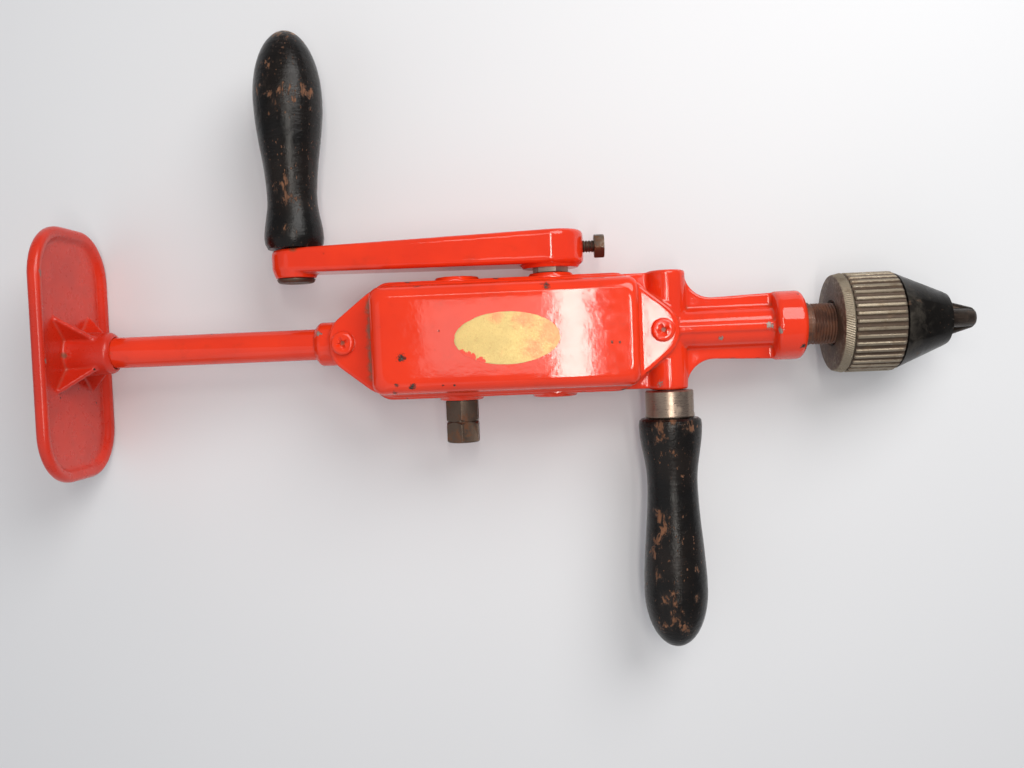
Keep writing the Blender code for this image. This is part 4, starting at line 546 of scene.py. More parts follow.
OXIDE_GRAIN_DEPTH = 0.00004
TURNING_MARKS = 0.0030
TURNING_DEPTH = 0.000025
BRIGHT_DENT = 0.004
BRIGHT_DENT_DEPTH = 0.00006
FOIL_PATCH = 0.008
FOIL_TEAR = 0.0030
FOIL_GRAIN = 0.0008
FOIL_DEPTH = 0.00003

# Colours that the skins share or lay over their own
ORANGE_RED = (0.80, 0.040, 0.009)
# Brown for the dirt at listed spots and for the painted shade in creases.
SOIL_AND_SHADE = (0.110, 0.062, 0.026)
SMUDGE = (0.33, 0.030, 0.010)
CHIP_RIM = (0.16, 0.022, 0.010)
DARK_IRON = (0.032, 0.024, 0.019)
WORN_IRON = (0.13, 0.10, 0.08)
FRESH_IRON = (0.34, 0.30, 0.26)
DRY_WOOD = (0.36, 0.27, 0.20)
RUBBED_STEEL = (0.34, 0.29, 0.24)
RUST_BROWN = (0.115, 0.055, 0.028)
KNURL_STAIN = (0.15, 0.095, 0.055)
KNURL_GLINT = (0.70, 0.65, 0.56)
BRIGHT_STAIN = (0.27, 0.21, 0.15)

# Skins of the inner pieces, by a word in their names
INNER_SKINS = {
    "bevel": "gear",
    "spur": "gear",
    "stud": "shaft",
    "retaining": "shaft",
    "bush": "bronze",
    "washer": "thread",
}


def pose_matrix(place, turn=(0, 0, 0)):
    return Matrix.Translation(place) @ Euler(turn).to_matrix().to_4x4()


# The lines that pieces are turned about, each with its own Z along the axis
DRILL = pose_matrix((-MIDDLE_X, -MIDDLE_Y, PLATE_HALF_WIDTH))
SPINDLE_LINE = DRILL @ pose_matrix((0, 0, 0), (0, pi / 2, 0))
CRANK_LINE = DRILL @ pose_matrix((0, 0, 0), (-pi / 2, 0, 0))
COUNTERSHAFT_LINE = DRILL @ pose_matrix((COUNTERSHAFT_X, 0, 0), (-pi / 2, 0, 0))
HANDLE_LINE = DRILL @ pose_matrix((-CRANK_REACH, 0, 0), (-pi / 2, 0, 0))
SIDE_LINE = DRILL @ pose_matrix((CROSS_BOSS_X, 0, 0), (pi / 2, 0, 0))
SET_SCREW_LINE = CRANK_LINE @ pose_matrix((0, 0, SET_SCREW_HEIGHT), (0, pi / 2, 0))
JAW_TURNS = [pi + 2 * pi * number / JAW_COUNT for number in range(JAW_COUNT)]
JAW_LINES = [SPINDLE_LINE @ Matrix.Rotation(turn, 4, "Z") for turn in JAW_TURNS]


def add_mesh(name, mesh, placing, skin):
    """Links a bmesh, with its points put where the placing says."""
    mesh.transform(placing)
    bmesh.ops.recalc_face_normals(mesh, faces=mesh.faces)
    data = bpy.data.meshes.new(name)
    mesh.to_mesh(data)
    mesh.free()
    piece = bpy.data.objects.new(name, data)
    bpy.context.scene.collection.objects.link(piece)
    if skin is not None:
        data.materials.append(skin)
    return piece


def turned(name, outline, placing=SPINDLE_LINE, skin=None, sides=ROUND_SIDES):
    """Spins an outline of (radius, height) about Z. It starts and ends on the axis, or is a ring."""
    mesh = bmesh.new()
    corners = [mesh.verts.new((radius, 0, height)) for radius, height in outline]
    edges = [mesh.edges.new(pair) for pair in zip(corners, corners[1:])]
    if outline[0][0] > 0:
        edges.append(mesh.edges.new((corners[-1], corners[0])))
    bmesh.ops.spin(
        mesh, geom=corners + edges, axis=(0, 0, 1), cent=(0, 0, 0), angle=2 * pi, steps=sides
    )
    bmesh.ops.remove_doubles(mesh, verts=mesh.verts, dist=WELD)
    return add_mesh(name, mesh, placing, skin)


def closed(outline):
    """Takes an outline of (radius, height) in to the axis at both ends."""
    return [(0, outline[0][1]), *outline, (0, outline[-1][1])]


def stepped(start, *steps):
    """The outline of a stepped round solid, with the (radius, end height) of each step."""
    outline = []
    for radius, end in steps:
        outline += [(radius, start), (radius, end)]
        start = end
    return closed(outline)


def plug(name, radius, start, end, placing=SPINDLE_LINE, skin=None, sides=ROUND_SIDES):
    return turned(name, stepped(start, (radius, end)), placing, skin, sides)


def lofted(name, rings, placing=DRILL, skin=None):
    """Joins rings that have equal point counts, one after another, and caps the two end rings."""
    mesh = bmesh.new()
    rows = [[mesh.verts.new(point) for point in ring] for ring in rings]
    mesh.faces.new(rows[0])
    mesh.faces.new(rows[-1])
    for lower, upper in zip(rows, rows[1:]):
        for index in range(len(lower)):
            mesh.faces.new((lower[index - 1], lower[index], upper[index], upper[index - 1]))
    return add_mesh(name, mesh, placing, skin)


def at_height(outline, height):
    return [(x, y, height) for x, y in outline]


def prism(name, outline, low, high, placing=DRILL):
    """An outline drawn from one height to another."""
    return lofted(name, [at_height(outline, low), at_height(outline, high)], placing)


def polar(radius, angle):
    return radius * cos(angle), radius * sin(angle)


def circle(radii, height, lean=0.0):
    """A ring of evenly spaced points, each at its own radius."""
    pitch = 2 * pi / len(radii)
    return at_height([polar(radius, pitch * step + lean) for step, radius in enumerate(radii)], height)


def hexagon(across_flats, turn):
    """A hexagon with flats at right angles to local X, turned by an angle."""
    corner = across_flats / 2 / cos(pi / 6)
    return [polar(corner, turn + pi / 6 + pi / 3 * index) for index in range(6)]


def rectangle(rear, front, half_width):
    return [(rear, -half_width), (front, -half_width), (front, half_width), (rear, half_width)]


def rounded_outline(corners, radii, steps=CORNER_STEPS):
    """Replaces each corner by an arc of its own radius, tangent to both sides."""
    points = []
    for index, corner in enumerate(corners):
        here = Vector(corner)
        back = (Vector(corners[index - 1]) - here).normalized()
        ahead = (Vector(corners[(index + 1) % len(corners)]) - here).normalized()
        half_angle = back.angle(ahead) / 2
        centre = here + (back + ahead).normalized() * (radii[index] / sin(half_angle))
        start = here + back * (radii[index] / tan(half_angle)) - centre
        end = here + ahead * (radii[index] / tan(half_angle)) - centre
        first = atan2(start.y, start.x)
        sweep = (atan2(end.y, end.x) - first + pi) % (2 * pi) - pi
        for step in range(steps + 1):
            x, y = polar(radii[index], first + sweep * step / steps)
            points.append((centre.x + x, centre.y + y))
    return points


def mirrored(corners, radii):
    """Rounds the outline made of corners on one side of the X axis and their mirror images."""
    return rounded_outline(corners + [(x, -y) for x, y in reversed(corners)], radii + radii[::-1])


def box_outline(rear, front, half_width, corner):
    return rounded_outline(rectangle(rear, front, half_width), [corner] * 4)


def edge_arc(radius):
    """(inset, rise) steps of a quarter round from a flat face up to an upright side."""
    return [(radius * (1 - sin(angle)), radius * (1 - cos(angle))) for angle in QUARTER]


def settle(piece, *helpers):
    """Works the modifiers into the mesh and removes the helpers that they used."""
    bpy.context.view_layer.update()
    graph = bpy.context.evaluated_depsgraph_get()
    mesh = bpy.data.meshes.new_from_object(piece.evaluated_get(graph))
    piece.modifiers.clear()
    piece.data = mesh
    for helper in helpers:
        bpy.data.objects.remove(helper, do_unlink=True)


def carve(piece, operation, *helpers, solver="EXACT"):
    for helper in helpers:
        change = piece.modifiers.new(helper.name, "BOOLEAN")
        change.operation = operation
        change.solver = solver
        change.object = helper
    settle(piece, *helpers)


def bevelled(piece, width, segments=3, angle=30):
    """Rounds a piece's sharp edges."""
    edge = piece.modifiers.new("edge", "BEVEL")
    edge.width = width
    edge.segments = segments
    edge.limit_method = "ANGLE"
    edge.angle_limit = radians(angle)
    settle(piece)


def cast(name, shells, cutters, skin, **spots):
    """Fuses overlapping shells into one skin with the soft corners of a casting, and bores it."""
    mesh = bmesh.new()
    for shell in shells:
        mesh.from_mesh(shell.data)
        bpy.data.objects.remove(shell, do_unlink=True)
    piece = add_mesh(name, mesh, Matrix.Identity(4), skin)
    fuse = piece.modifiers.new("fuse", "REMESH")
    fuse.mode = "VOXEL"
    fuse.voxel_size = CAST_VOXEL
    soften = piece.modifiers.new("soften", "SMOOTH")
    soften.factor = 0.5
    soften.iterations = CAST_PASSES
    settle(piece)
    carve(piece, "DIFFERENCE", *cutters, solver="MANIFOLD")
    return worn(piece, sharp=50, spread=3, gain=6.0, **spots)


def read_points(mesh, what="co"):
    values = np.empty(len(mesh.vertices) * 3, np.float32)
    mesh.vertices.foreach_get(what, values)
    return values.reshape(-1, 3).astype(float)


def neighbour_mean(values, ends, degree):
    """Each point's mean over its neighbours, for one number a point."""
    total = np.bincount(ends[:, 0], values[ends[:, 1]], len(degree))
    total += np.bincount(ends[:, 1], values[ends[:, 0]], len(degree))
    return total / degree


def store(piece, name, values):
    attribute = piece.data.attributes.new(name, "FLOAT", "POINT")
    attribute.data.foreach_set("value", np.asarray(values, np.float32))


def mark_edges(piece, spread, gain):
    """Stores edge, above zero where the skin stands out and below zero in a crease."""
    mesh = piece.data
    places = read_points(mesh)
    normals = read_points(mesh, "normal")
    ends = np.empty(len(mesh.edges) * 2, np.int32)
    mesh.edges.foreach_get("vertices", ends)
    ends = ends.reshape(-1, 2)
    degree = np.maximum(np.bincount(ends.ravel(), minlength=len(places)), 1)
    middle = np.stack([neighbour_mean(places[:, axis], ends, degree) for axis in range(3)], 1)
    span = np.linalg.norm(places[ends[:, 0]] - places[ends[:, 1]], axis=1)
    reach = np.bincount(ends[:, 0], span, len(places)) + np.bincount(ends[:, 1], span, len(places))
    lean = ((places - middle) * normals).sum(1) / np.maximum(reach / degree, WELD)
    for _ in range(spread):
        lean = (lean + neighbour_mean(lean, ends, degree)) / 2
    store(piece, "edge", np.clip(lean * gain, -1, 1))


def mark_spots(piece, name, spots):
    """Stores how near each point is to the nearest spot (x, y, z, radius), one at its middle."""
    places = read_points(piece.data)
    nearness = np.zeros(len(places))
    for x, y, z, radius in spots:
        gap = np.linalg.norm(places - np.array(DRILL @ Vector((x, y, z))), axis=1)
        nearness = np.maximum(nearness, 1 - gap / radius)
    store(piece, name, np.clip(nearness, 0, 1))


def worn(piece, sharp=35, spread=0, gain=0.0, **spots):
    """Marks a piece's spots and, with a gain, its edges, shades it and gives it back."""
    if gain > 0:
        mark_edges(piece, spread, gain)
    for kind, places in spots.items():
        mark_spots(piece, kind, places)
    piece.data.shade_smooth()
    piece.data.set_sharp_from_angle(angle=radians(sharp))
    return piece


class Skin:
    """A material in the making: each call adds one node, or a few, and gives back an output."""

    def __init__(self, name, **sockets):
        self.material = bpy.data.materials.new(name)
        self.material.use_nodes = True
        self.tree = self.material.node_tree
        self.shader = self.tree.nodes["Principled BSDF"]
        self.place = self.add("ShaderNodeTexCoord", {}, "Object")
        for socket, value in sockets.items():
            self.join(self.shader.inputs[socket.replace("_", " ")], value)

    def add(self, kind, inputs, output=0, **settings):
        """Adds a node with its settings and inputs, and gives back one output."""
        node = self.tree.nodes.new(kind)
        for setting, value in settings.items():
            setattr(node, setting, value)
        for socket, value in inputs.items():
            self.join(node.inputs[socket], value)
        return node.outputs[output]

    def join(self, socket, value):
        if isinstance(value, bpy.types.NodeSocket):
            self.tree.links.new(value, socket)
        elif isinstance(value, tuple) and socket.type == "RGBA":
            socket.default_value = (*value, 1)
        else:
            socket.default_value = value

    def noise(self, size, detail=3, rough=0.55, twist=0.0, scale=(1, 1, 1)):
        """A noise whose marks are about this many metres wide, and longer along an axis scaled down."""
        place = self.place
        if scale != (1, 1, 1):
            place = self.add("ShaderNodeVectorMath", {0: place, 1: scale}, operation="MULTIPLY")
        inputs = {"Vector": place, "Scale": 1 / size, "Detail": detail, "Roughness": rough}
        return self.add("ShaderNodeTexNoise", {**inputs, "Distortion": twist}, "Fac")

    def speckle(self, size):
        """The distance to scattered points, for flecks."""
        return self.add("ShaderNodeTexVoronoi", {"Vector": self.place, "Scale": 1 / size}, "Distance")

    def stored(self, name):
        return self.add("ShaderNodeAttribute", {}, "Fac", attribute_name=name)

    def math(self, operation, first, second):
        return self.add("ShaderNodeMath", {0: first, 1: second}, operation=operation)

    def times(self, first, second):
        return self.math("MULTIPLY", first, second)

    def most(self, first, *others):
        for other in others:
            first = self.math("MAXIMUM", first, other)
        return first

    def step(self, value, low, high, start=0.0, end=1.0):
        """Rises smoothly from start to end as the value goes from low to high."""
        inputs = dict(enumerate((value, low, high, start, end)))
        return self.add("ShaderNodeMapRange", inputs, interpolation_type="SMOOTHSTEP")

    def rough_step(self, value, noise, amount, low, high):
        """A step whose edge is frayed by a noise."""
        fray = self.times(self.math("SUBTRACT", noise, 0.5), amount)
        return self.step(self.math("ADD", value, fray), low, high)

    def mix(self, share, first, second, amount=1.0):
        """The first colour with the second over it, where there is a share, by up to an amount."""
        if amount < 1.0:
            share = self.times(share, amount)
        return self.add("ShaderNodeMix", {0: share, 6: first, 7: second}, 2, data_type="RGBA")

    def bump(self, height, depth, under=None):
        inputs = {"Height": height, "Distance": depth}
        if under is not None:
            inputs["Normal"] = under
        return self.add("ShaderNodeBump", inputs, "Normal")

    def finish(self, colour, roughness, normal, metallic=0.0):
        sockets = {"Base Color": colour, "Roughness": roughness, "Normal": normal, "Metallic": metallic}
        for socket, value in sockets.items():
            self.join(self.shader.inputs[socket], value)
        return self.material


def tinted(colour, amount):
    return tuple(min(1.0, part * amount) for part in colour)


def enamel_skin(name, colour, faded, shine, wear):
    """Gloss enamel on a casting: slight orange peel, painted shade in creases, dirt at spots, chips on edges
    and at spots.
    """
    skin = Skin(name)
    broad = skin.noise(ENAMEL_PATCH)
    middle = skin.noise(ENAMEL_MOTTLE, 5, 0.62)
    fine = skin.noise(ENAMEL_GRAIN, 4, 0.6)
    ragged = skin.noise(ENAMEL_CHIP, 5, 0.75, 0.8)
    edge = skin.stored("edge")
    chip = skin.stored("chip")
    paint = skin.mix(skin.step(broad, 0.35, 0.68), colour, faded)
    # Painted shade: creases, where the stored edge falls below zero, are darkened towards brown, broken up
    # by a noise, and then joined with the dirt at the listed spots.
    crease = skin.times(skin.step(edge, -0.15, -0.85), 0.55)
    shade_and_soil = skin.times(crease, skin.step(middle, 0.32, 0.62))
    shade_and_soil = skin.most(shade_and_soil, skin.rough_step(skin.stored("dirt"), middle, 0.9, 0.3, 0.75))
    paint = skin.mix(shade_and_soil, paint, SOIL_AND_SHADE, 0.80)
    paint = skin.mix(skin.step(skin.noise(ENAMEL_SMUDGE, 6, 0.7), 0.52, 0.74), paint, SMUDGE, 0.20)
    worn_through = skin.rough_step(edge, middle, 1.5, wear, wear + 0.10)
    chips = skin.rough_step(chip, ragged, 2.4, 0.62, 0.70)
    rims = skin.rough_step(chip, ragged, 2.4, 0.44, 0.62)
    nicks = skin.rough_step(skin.stored("nick"), ragged, 2.4, 0.58, 0.68)
    flecks = skin.times(skin.step(skin.speckle(ENAMEL_FLECK), 0.085, 0.05), skin.step(broad, 0.54, 0.66))
    bare = skin.most(worn_through, chips, nicks, flecks)
    metal = skin.mix(skin.step(fine, 0.45, 0.64), DARK_IRON, WORN_IRON)
    metal = skin.mix(nicks, metal, FRESH_IRON)
    painted = skin.mix(skin.most(rims, bare), paint, CHIP_RIM, 0.75)
    gloss = skin.step(middle, 0.25, 0.75, shine, shine + 0.05)
    gloss = skin.math("ADD", gloss, skin.times(shade_and_soil, 0.3))
    gloss = skin.most(gloss, skin.times(bare, 0.62))
    peel = skin.bump(skin.noise(ENAMEL_PEEL, 4, 0.6), ENAMEL_PEEL_DEPTH)
    grain = skin.bump(fine, ENAMEL_GRAIN_DEPTH, peel)
    dent = skin.bump(skin.math("SUBTRACT", 1.0, bare), COAT_DEPTH, grain)
    return skin.finish(skin.mix(bare, painted, metal), gloss, dent, skin.times(bare, 0.5))


def wood_skin(name, lacquer, brown, orange):
    """Black lacquer on turned wood, worn through along the grain, with dents and a polished tip."""
    skin = Skin(name, Specular_IOR_Level=0.25)
    grain = skin.noise(WOOD_GRAIN, 5, 0.65, 0.3, (1, 0.10, 1))
    rings = skin.noise(WOOD_RINGS, 3, 0.7, 0.0, (0.15, 1, 0.15))
    streak = skin.noise(WOOD_STREAK, 6, 0.75, 0.5, (1, 0.45, 1))
    fleck = skin.noise(WOOD_FLECK, 3, 0.6, 0.0, (1, 0.5, 1))
    broad = skin.noise(WOOD_PATCH)
    rub = skin.stored("rub")
    tan_wood = skin.stored("tan")
    through = skin.rough_step(rub, streak, 4.5, 0.80, 0.98)
    scratch = skin.times(skin.step(fleck, 0.635, 0.68), skin.step(broad, 0.40, 0.58))
    bare = skin.most(through, scratch, skin.rough_step(tan_wood, streak, 2.0, 0.50, 0.70))
    coat = skin.mix(skin.step(broad, 0.35, 0.7), lacquer, brown)
    coat = skin.mix(skin.rough_step(rub, streak, 3.0, 0.35, 0.85), coat, tinted(brown, 3), 0.55)
    wood = skin.mix(skin.step(grain, 0.36, 0.64), tinted(orange, 0.45), orange)
    wood = skin.mix(skin.step(tan_wood, 0.2, 0.8), wood, DRY_WOOD)
    roughness = skin.step(skin.noise(WOOD_SHINE, 4), 0.3, 0.7, 0.20, 0.32)
    roughness = skin.most(roughness, skin.times(bare, 0.55))
    dry = skin.bump(skin.noise(WOOD_DUST, 3, 0.7), WOOD_DUST_DEPTH, skin.bump(grain, WOOD_GRAIN_DEPTH))
    nicks = skin.bump(skin.math("SUBTRACT", 1.0, bare), COAT_DEPTH, skin.bump(rings, WOOD_RINGS_DEPTH, dry))
    soft = skin.bump(skin.noise(WOOD_DENT), WOOD_DENT_DEPTH, nicks)
    return skin.finish(skin.mix(bare, coat, wood), roughness, soft)


def rusty_skin(name, steel, rust, share=0.5, metallic=0.85):
    """Old plain steel: brown-black skin, rust blooms, pits and edges rubbed brighter."""
    skin = Skin(name)
    broad = skin.noise(STEEL_PATCH, 4, 0.65)
    fine = skin.noise(RUST_GRAIN, 4, 0.65)
    bloom = skin.rough_step(broad, fine, 0.5, share, share + 0.16)
    colour = skin.mix(bloom, steel, rust)
    colour = skin.mix(skin.step(fine, 0.60, 0.72), colour, tinted(steel, 0.35), 0.6)
    rubbed = skin.rough_step(skin.stored("edge"), broad, 0.9, 0.35, 0.8)
    colour = skin.mix(rubbed, colour, RUBBED_STEEL, 0.7)
    roughness = skin.math("ADD", skin.step(fine, 0.3, 0.7, 0.34, 0.50), skin.times(bloom, 0.22))
    pits = skin.bump(skin.noise(RUST_PIT, 4, 0.7), RUST_PIT_DEPTH)
    pits = skin.bump(broad, RUST_SCALE_DEPTH, pits)
    return skin.finish(colour, roughness, pits, skin.step(bloom, 0.0, 1.0, metallic, metallic * 0.55))


def knurl_skin(name, crest, groove):
    """Knurled steel: bright, handled ridges, darker brown down in the grooves."""
    skin = Skin(name)
    fine = skin.noise(KNURL_GRAIN, 4, 0.65)
    # Darker brown down in the grooves, by the stored crest height, with a frayed border.
    clean = skin.rough_step(skin.stored("crest"), skin.noise(KNURL_GROOVE_FRAY, 4, 0.6), 0.8, 0.30, 0.72)
    colour = skin.mix(clean, groove, crest)
    colour = skin.mix(skin.step(skin.noise(STEEL_PATCH, 4, 0.6), 0.50, 0.68), colour, KNURL_STAIN, 0.45)
    glint = skin.times(skin.step(fine, 0.62, 0.70), clean)
    colour = skin.mix(glint, colour, KNURL_GLINT, 0.6)
    roughness = skin.math("SUBTRACT", skin.step(fine, 0.3, 0.7, 0.60, 0.48), skin.times(clean, 0.04))
    bumps = skin.bump(skin.noise(KNURL_PIT, 3, 0.7), KNURL_PIT_DEPTH)
    return skin.finish(colour, roughness, bumps, skin.step(clean, 0.0, 1.0, 0.35, 0.85))


def oxide_skin(name, black, rubbed):
    """Black oxide, mottled and rubbed to grey where hands and benches reach it."""
    skin = Skin(name)
    mottle = skin.noise(OXIDE_MOTTLE, 5, 0.65, 0.6)
    fine = skin.noise(OXIDE_GRAIN, 4, 0.6)
    colour = skin.mix(skin.rough_step(mottle, fine, 0.35, 0.50, 0.72), black, rubbed, 0.30)
    edge = skin.rough_step(skin.stored("edge"), mottle, 0.9, 0.25, 0.75)
    colour = skin.mix(edge, colour, tinted(rubbed, 2.2))
    rust = skin.times(skin.step(skin.noise(OXIDE_RUST, 4, 0.65), 0.60, 0.72), 0.6)
    colour = skin.mix(rust, colour, RUST_BROWN)
    roughness = skin.math("ADD", skin.step(mottle, 0.3, 0.7, 0.30, 0.44), skin.times(rust, 0.25))
    bumps = skin.bump(mottle, OXIDE_MOTTLE_DEPTH, skin.bump(fine, OXIDE_GRAIN_DEPTH))
    return skin.finish(colour, roughness, bumps, skin.step(rust, 0.0, 0.6, 0.85, 0.5))


def bright_skin(name, colour, across):
    """Satin steel with fine turning marks round its axis."""
    skin = Skin(name)
    rings = skin.noise(TURNING_MARKS, 4, 0.7, 0.0, across)
    stain = skin.step(skin.noise(STEEL_PATCH, 5, 0.65), 0.50, 0.74)
    tone = skin.mix(skin.step(rings, 0.3, 0.7), tinted(colour, 0.82), colour)
    tone = skin.mix(stain, tone, BRIGHT_STAIN, 0.4)
    roughness = skin.math("ADD", skin.step(rings, 0.3, 0.7, 0.24, 0.36), skin.times(stain, 0.18))
    dents = skin.bump(skin.noise(BRIGHT_DENT), BRIGHT_DENT_DEPTH, skin.bump(rings, TURNING_DEPTH))
    return skin.finish(tone, roughness, dents, skin.step(stain, 0.0, 1.0, 1.0, 0.8))


def sticker_skin(name, gold, coral, paint):
    """Plain gold foil, rubbed to coral in places, its rim darkened by painted shade and torn off to the
    paint.
    """
    skin = Skin(name)
    ragged = skin.noise(FOIL_TEAR, 6, 0.75, 0.6)
    fine = skin.noise(FOIL_GRAIN, 4, 0.7)
    share = skin.stored("share")
    tone = skin.mix(skin.step(skin.noise(FOIL_PATCH, 4, 0.6), 0.3, 0.7), gold, tinted(gold, 0.86))
    tone = skin.mix(skin.rough_step(skin.stored("rub"), ragged, 1.8, 0.10, 0.90), tone, coral, 0.75)
    tone = skin.mix(skin.step(fine, 0.56, 0.70), tone, tinted(coral, 0.55), 0.40)
    # Painted shade: the outer rim of the oval is darkened towards a deeper gold.
    tone = skin.mix(skin.rough_step(share, ragged, 0.06, 0.955, 1.0), tone, tinted(gold, 0.5), 0.5)
    torn = skin.rough_step(share, ragged, 0.12, 1.010, 1.020)
    torn = skin.most(torn, skin.rough_step(skin.stored("chip"), ragged, 1.2, 0.34, 0.38))
    tone = skin.mix(torn, tone, paint)
    roughness = skin.step(fine, 0.3, 0.7, 0.26, 0.42)
    return skin.finish(tone, roughness, skin.bump(fine, FOIL_DEPTH), skin.step(torn, 0.0, 1.0, 0.25, 0.0))


def flange_outline(inset=0):
    """The whole flange: straight sides, a blunt V behind and a round V ahead."""
    half = FLANGE_HALF_WIDTH - inset
    corners = [
        (FLANGE_REAR + inset, -FLANGE_REAR_HALF_WIDTH),
        (TUB_REAR + FLANGE_REAR_SHOULDER, -half),
        (TUB_FRONT - FLANGE_FRONT_SHOULDER, -half),
        (FLANGE_FRONT - inset, -FLANGE_FRONT_HALF_WIDTH),
    ]
    radii = [FLANGE_REAR_CORNER, FLANGE_REAR_SHOULDER_CORNER, FLANGE_SHOULDER_CORNER, FLANGE_TIP_CORNER]
    return mirrored(corners, radii)


def open_box(name, rear, front, half_width, corner, bottom, edge, top):
    """A box with round upright corners and a rounded bottom edge."""
    rings = []
    for inset, rise in edge_arc(edge):
        radius = corner * (1 - inset / edge / 2)
        outline = box_outline(rear + inset, front - inset, half_width - inset, radius)
        rings.append(at_height(outline, bottom + rise))
    rings.append(at_height(box_outline(rear, front, half_width, corner), top))
    return lofted(name, rings)


def rear_neck():
    """The V behind the tub, under the rear of the cover's flange."""
    rings = []
    for inset, rise in edge_arc(NECK_EDGE) + [(0, SPLIT_HEIGHT + NECK_DEPTH)]:
        half = FLANGE_HALF_WIDTH - inset
        corners = [
            (FLANGE_REAR + inset, inset / 2 - FLANGE_REAR_HALF_WIDTH),
            (TUB_REAR + FLANGE_REAR_SHOULDER, -half),
            (TUB_REAR + NECK_OVERLAP, -half),
        ]
        radii = [FLANGE_REAR_CORNER - inset, FLANGE_REAR_SHOULDER_CORNER, GAP]
        rings.append(at_height(mirrored(corners, radii), rise - NECK_DEPTH))
    return lofted("rear neck", rings)


def front_pad():
    """The V ahead of the tub, under the front of the cover's flange."""
    shoulder = TUB_FRONT - FLANGE_FRONT_SHOULDER
    corners = [
        (shoulder - FRONT_PAD_OVERLAP, -FLANGE_HALF_WIDTH),
        (shoulder, -FLANGE_HALF_WIDTH),
        (FLANGE_FRONT, -FLANGE_FRONT_HALF_WIDTH),
    ]
    outline = mirrored(corners, [GAP, FLANGE_SHOULDER_CORNER, FLANGE_TIP_CORNER])
    return prism("front pad", outline, SPLIT_HEIGHT - FRONT_PAD_DEPTH, SPLIT_HEIGHT)


def web():
    """The flat web in the middle plane, from the tub past the cross boss to the end ring."""
    start = CROSS_BOSS_X + WEB_START_AHEAD
    corners = [
        (NOSE_ROOT, -WEB_BOSS_HALF_WIDTH),
        (start, -WEB_BOSS_HALF_WIDTH),
        (start, -WEB_WAIST_HALF_WIDTH),
        (RING_MIDDLE, -WEB_FRONT_HALF_WIDTH),
    ]
    outline = mirrored(corners, [GAP, GAP, WEB_FILLET, GAP])
    return prism("web", outline, -WEB_HALF_THICKNESS, WEB_HALF_THICKNESS)


def end_ring():
    rear = RING_FACE - END_RING_LENGTH
    edge_start = RING_FACE - END_RING_EDGE_LENGTH
    points = [(END_RING_RADIUS - END_RING_REAR_EDGE, rear), (END_RING_RADIUS, rear + END_RING_REAR_EDGE)]
    for angle in QUARTER:
        radius = END_RING_RADIUS - END_RING_EDGE_RADIUS * (1 - cos(angle))
        points.append((radius, edge_start + END_RING_EDGE_LENGTH * sin(angle)))
    return turned("end ring", closed(points))


def add_housing(skin):
    """The cast tub, collar, cross boss, web and nose, hollowed and bored as the solid is."""
    collar = [
        (COLLAR_RADIUS - COLLAR_EDGE, COLLAR_REAR),
        (COLLAR_RADIUS, COLLAR_REAR + COLLAR_EDGE),
        (COLLAR_RADIUS, FLANGE_REAR + COLLAR_EDGE),
    ]
    boss = [
        (CROSS_BOSS_RADIUS - CROSS_BOSS_EDGE, -CROSS_BOSS_HALF_LENGTH),
        (CROSS_BOSS_RADIUS, CROSS_BOSS_EDGE - CROSS_BOSS_HALF_LENGTH),
    ]
    boss += [(radius, -place) for radius, place in reversed(boss)]
    rib = rectangle(CROSS_BOSS_X, RING_MIDDLE, NOSE_RIB_HALF_WIDTH)
    tub = (TUB_REAR, TUB_FRONT, TUB_HALF_WIDTH, TUB_CORNER, TUB_BOTTOM, TUB_EDGE, SPLIT_HEIGHT)
    shells = [
        open_box("tub", *tub),
        rear_neck(),
        front_pad(),
        turned("collar", closed(collar)),
        turned("cross boss", closed(boss), SIDE_LINE),
        web(),
        prism("nose rib", rib, 0, NOSE_TUBE_RADIUS + NOSE_RIB_HEIGHT),
        plug("nose tube", NOSE_TUBE_RADIUS, NOSE_ROOT, RING_FACE - OVERRUN),
        end_ring(),
    ]
    room = (CAVITY_REAR, CAVITY_FRONT, CAVITY_HALF_WIDTH, CAVITY_CORNER, -CAVITY_REACH, CAVITY_CORNER)
    seat = BUSH_RADIUS + GAP
    tail = CAVITY_FRONT - OVERRUN
    cutters = [
        open_box("gear room", *room, SPLIT_HEIGHT + OVERRUN),
        plug("rear bush seat", seat, tail, SPINDLE_SHOULDER),
        plug("nose bore", NOSE_BORE_RADIUS, tail, RING_FACE + OVERRUN),
        plug("front bush seat", seat, FRONT_BUSH_REAR - GAP, RING_FACE + OVERRUN),
        plug("tube seat", TUBE_RADIUS + GAP, COLLAR_REAR - OVERRUN, TUBE_SEAT),
    ]
    for line in (CRANK_LINE, COUNTERSHAFT_LINE):
        shells.append(plug("shaft boss", SHAFT_BOSS_RADIUS, -BOSS_FACE, BOSS_FACE, line))
        cutters.append(plug("seats", seat, -BOSS_FACE - OVERRUN, BOSS_FACE + OVERRUN, line))
    for side in (-1, 1):
        start = side * CROSS_BOSS_SOLID_HALF
        end = side * (CROSS_BOSS_HALF_LENGTH + OVERRUN)
        cutters.append(plug("handle hole", STUD_RADIUS + GAP, start, end, SIDE_LINE))
    marks = {"chip": HOUSING_CHIPS, "nick": HOUSING_NICKS, "dirt": HOUSING_DIRT}
    return cast("gear_housing_casting", shells, cutters, skin, **marks)


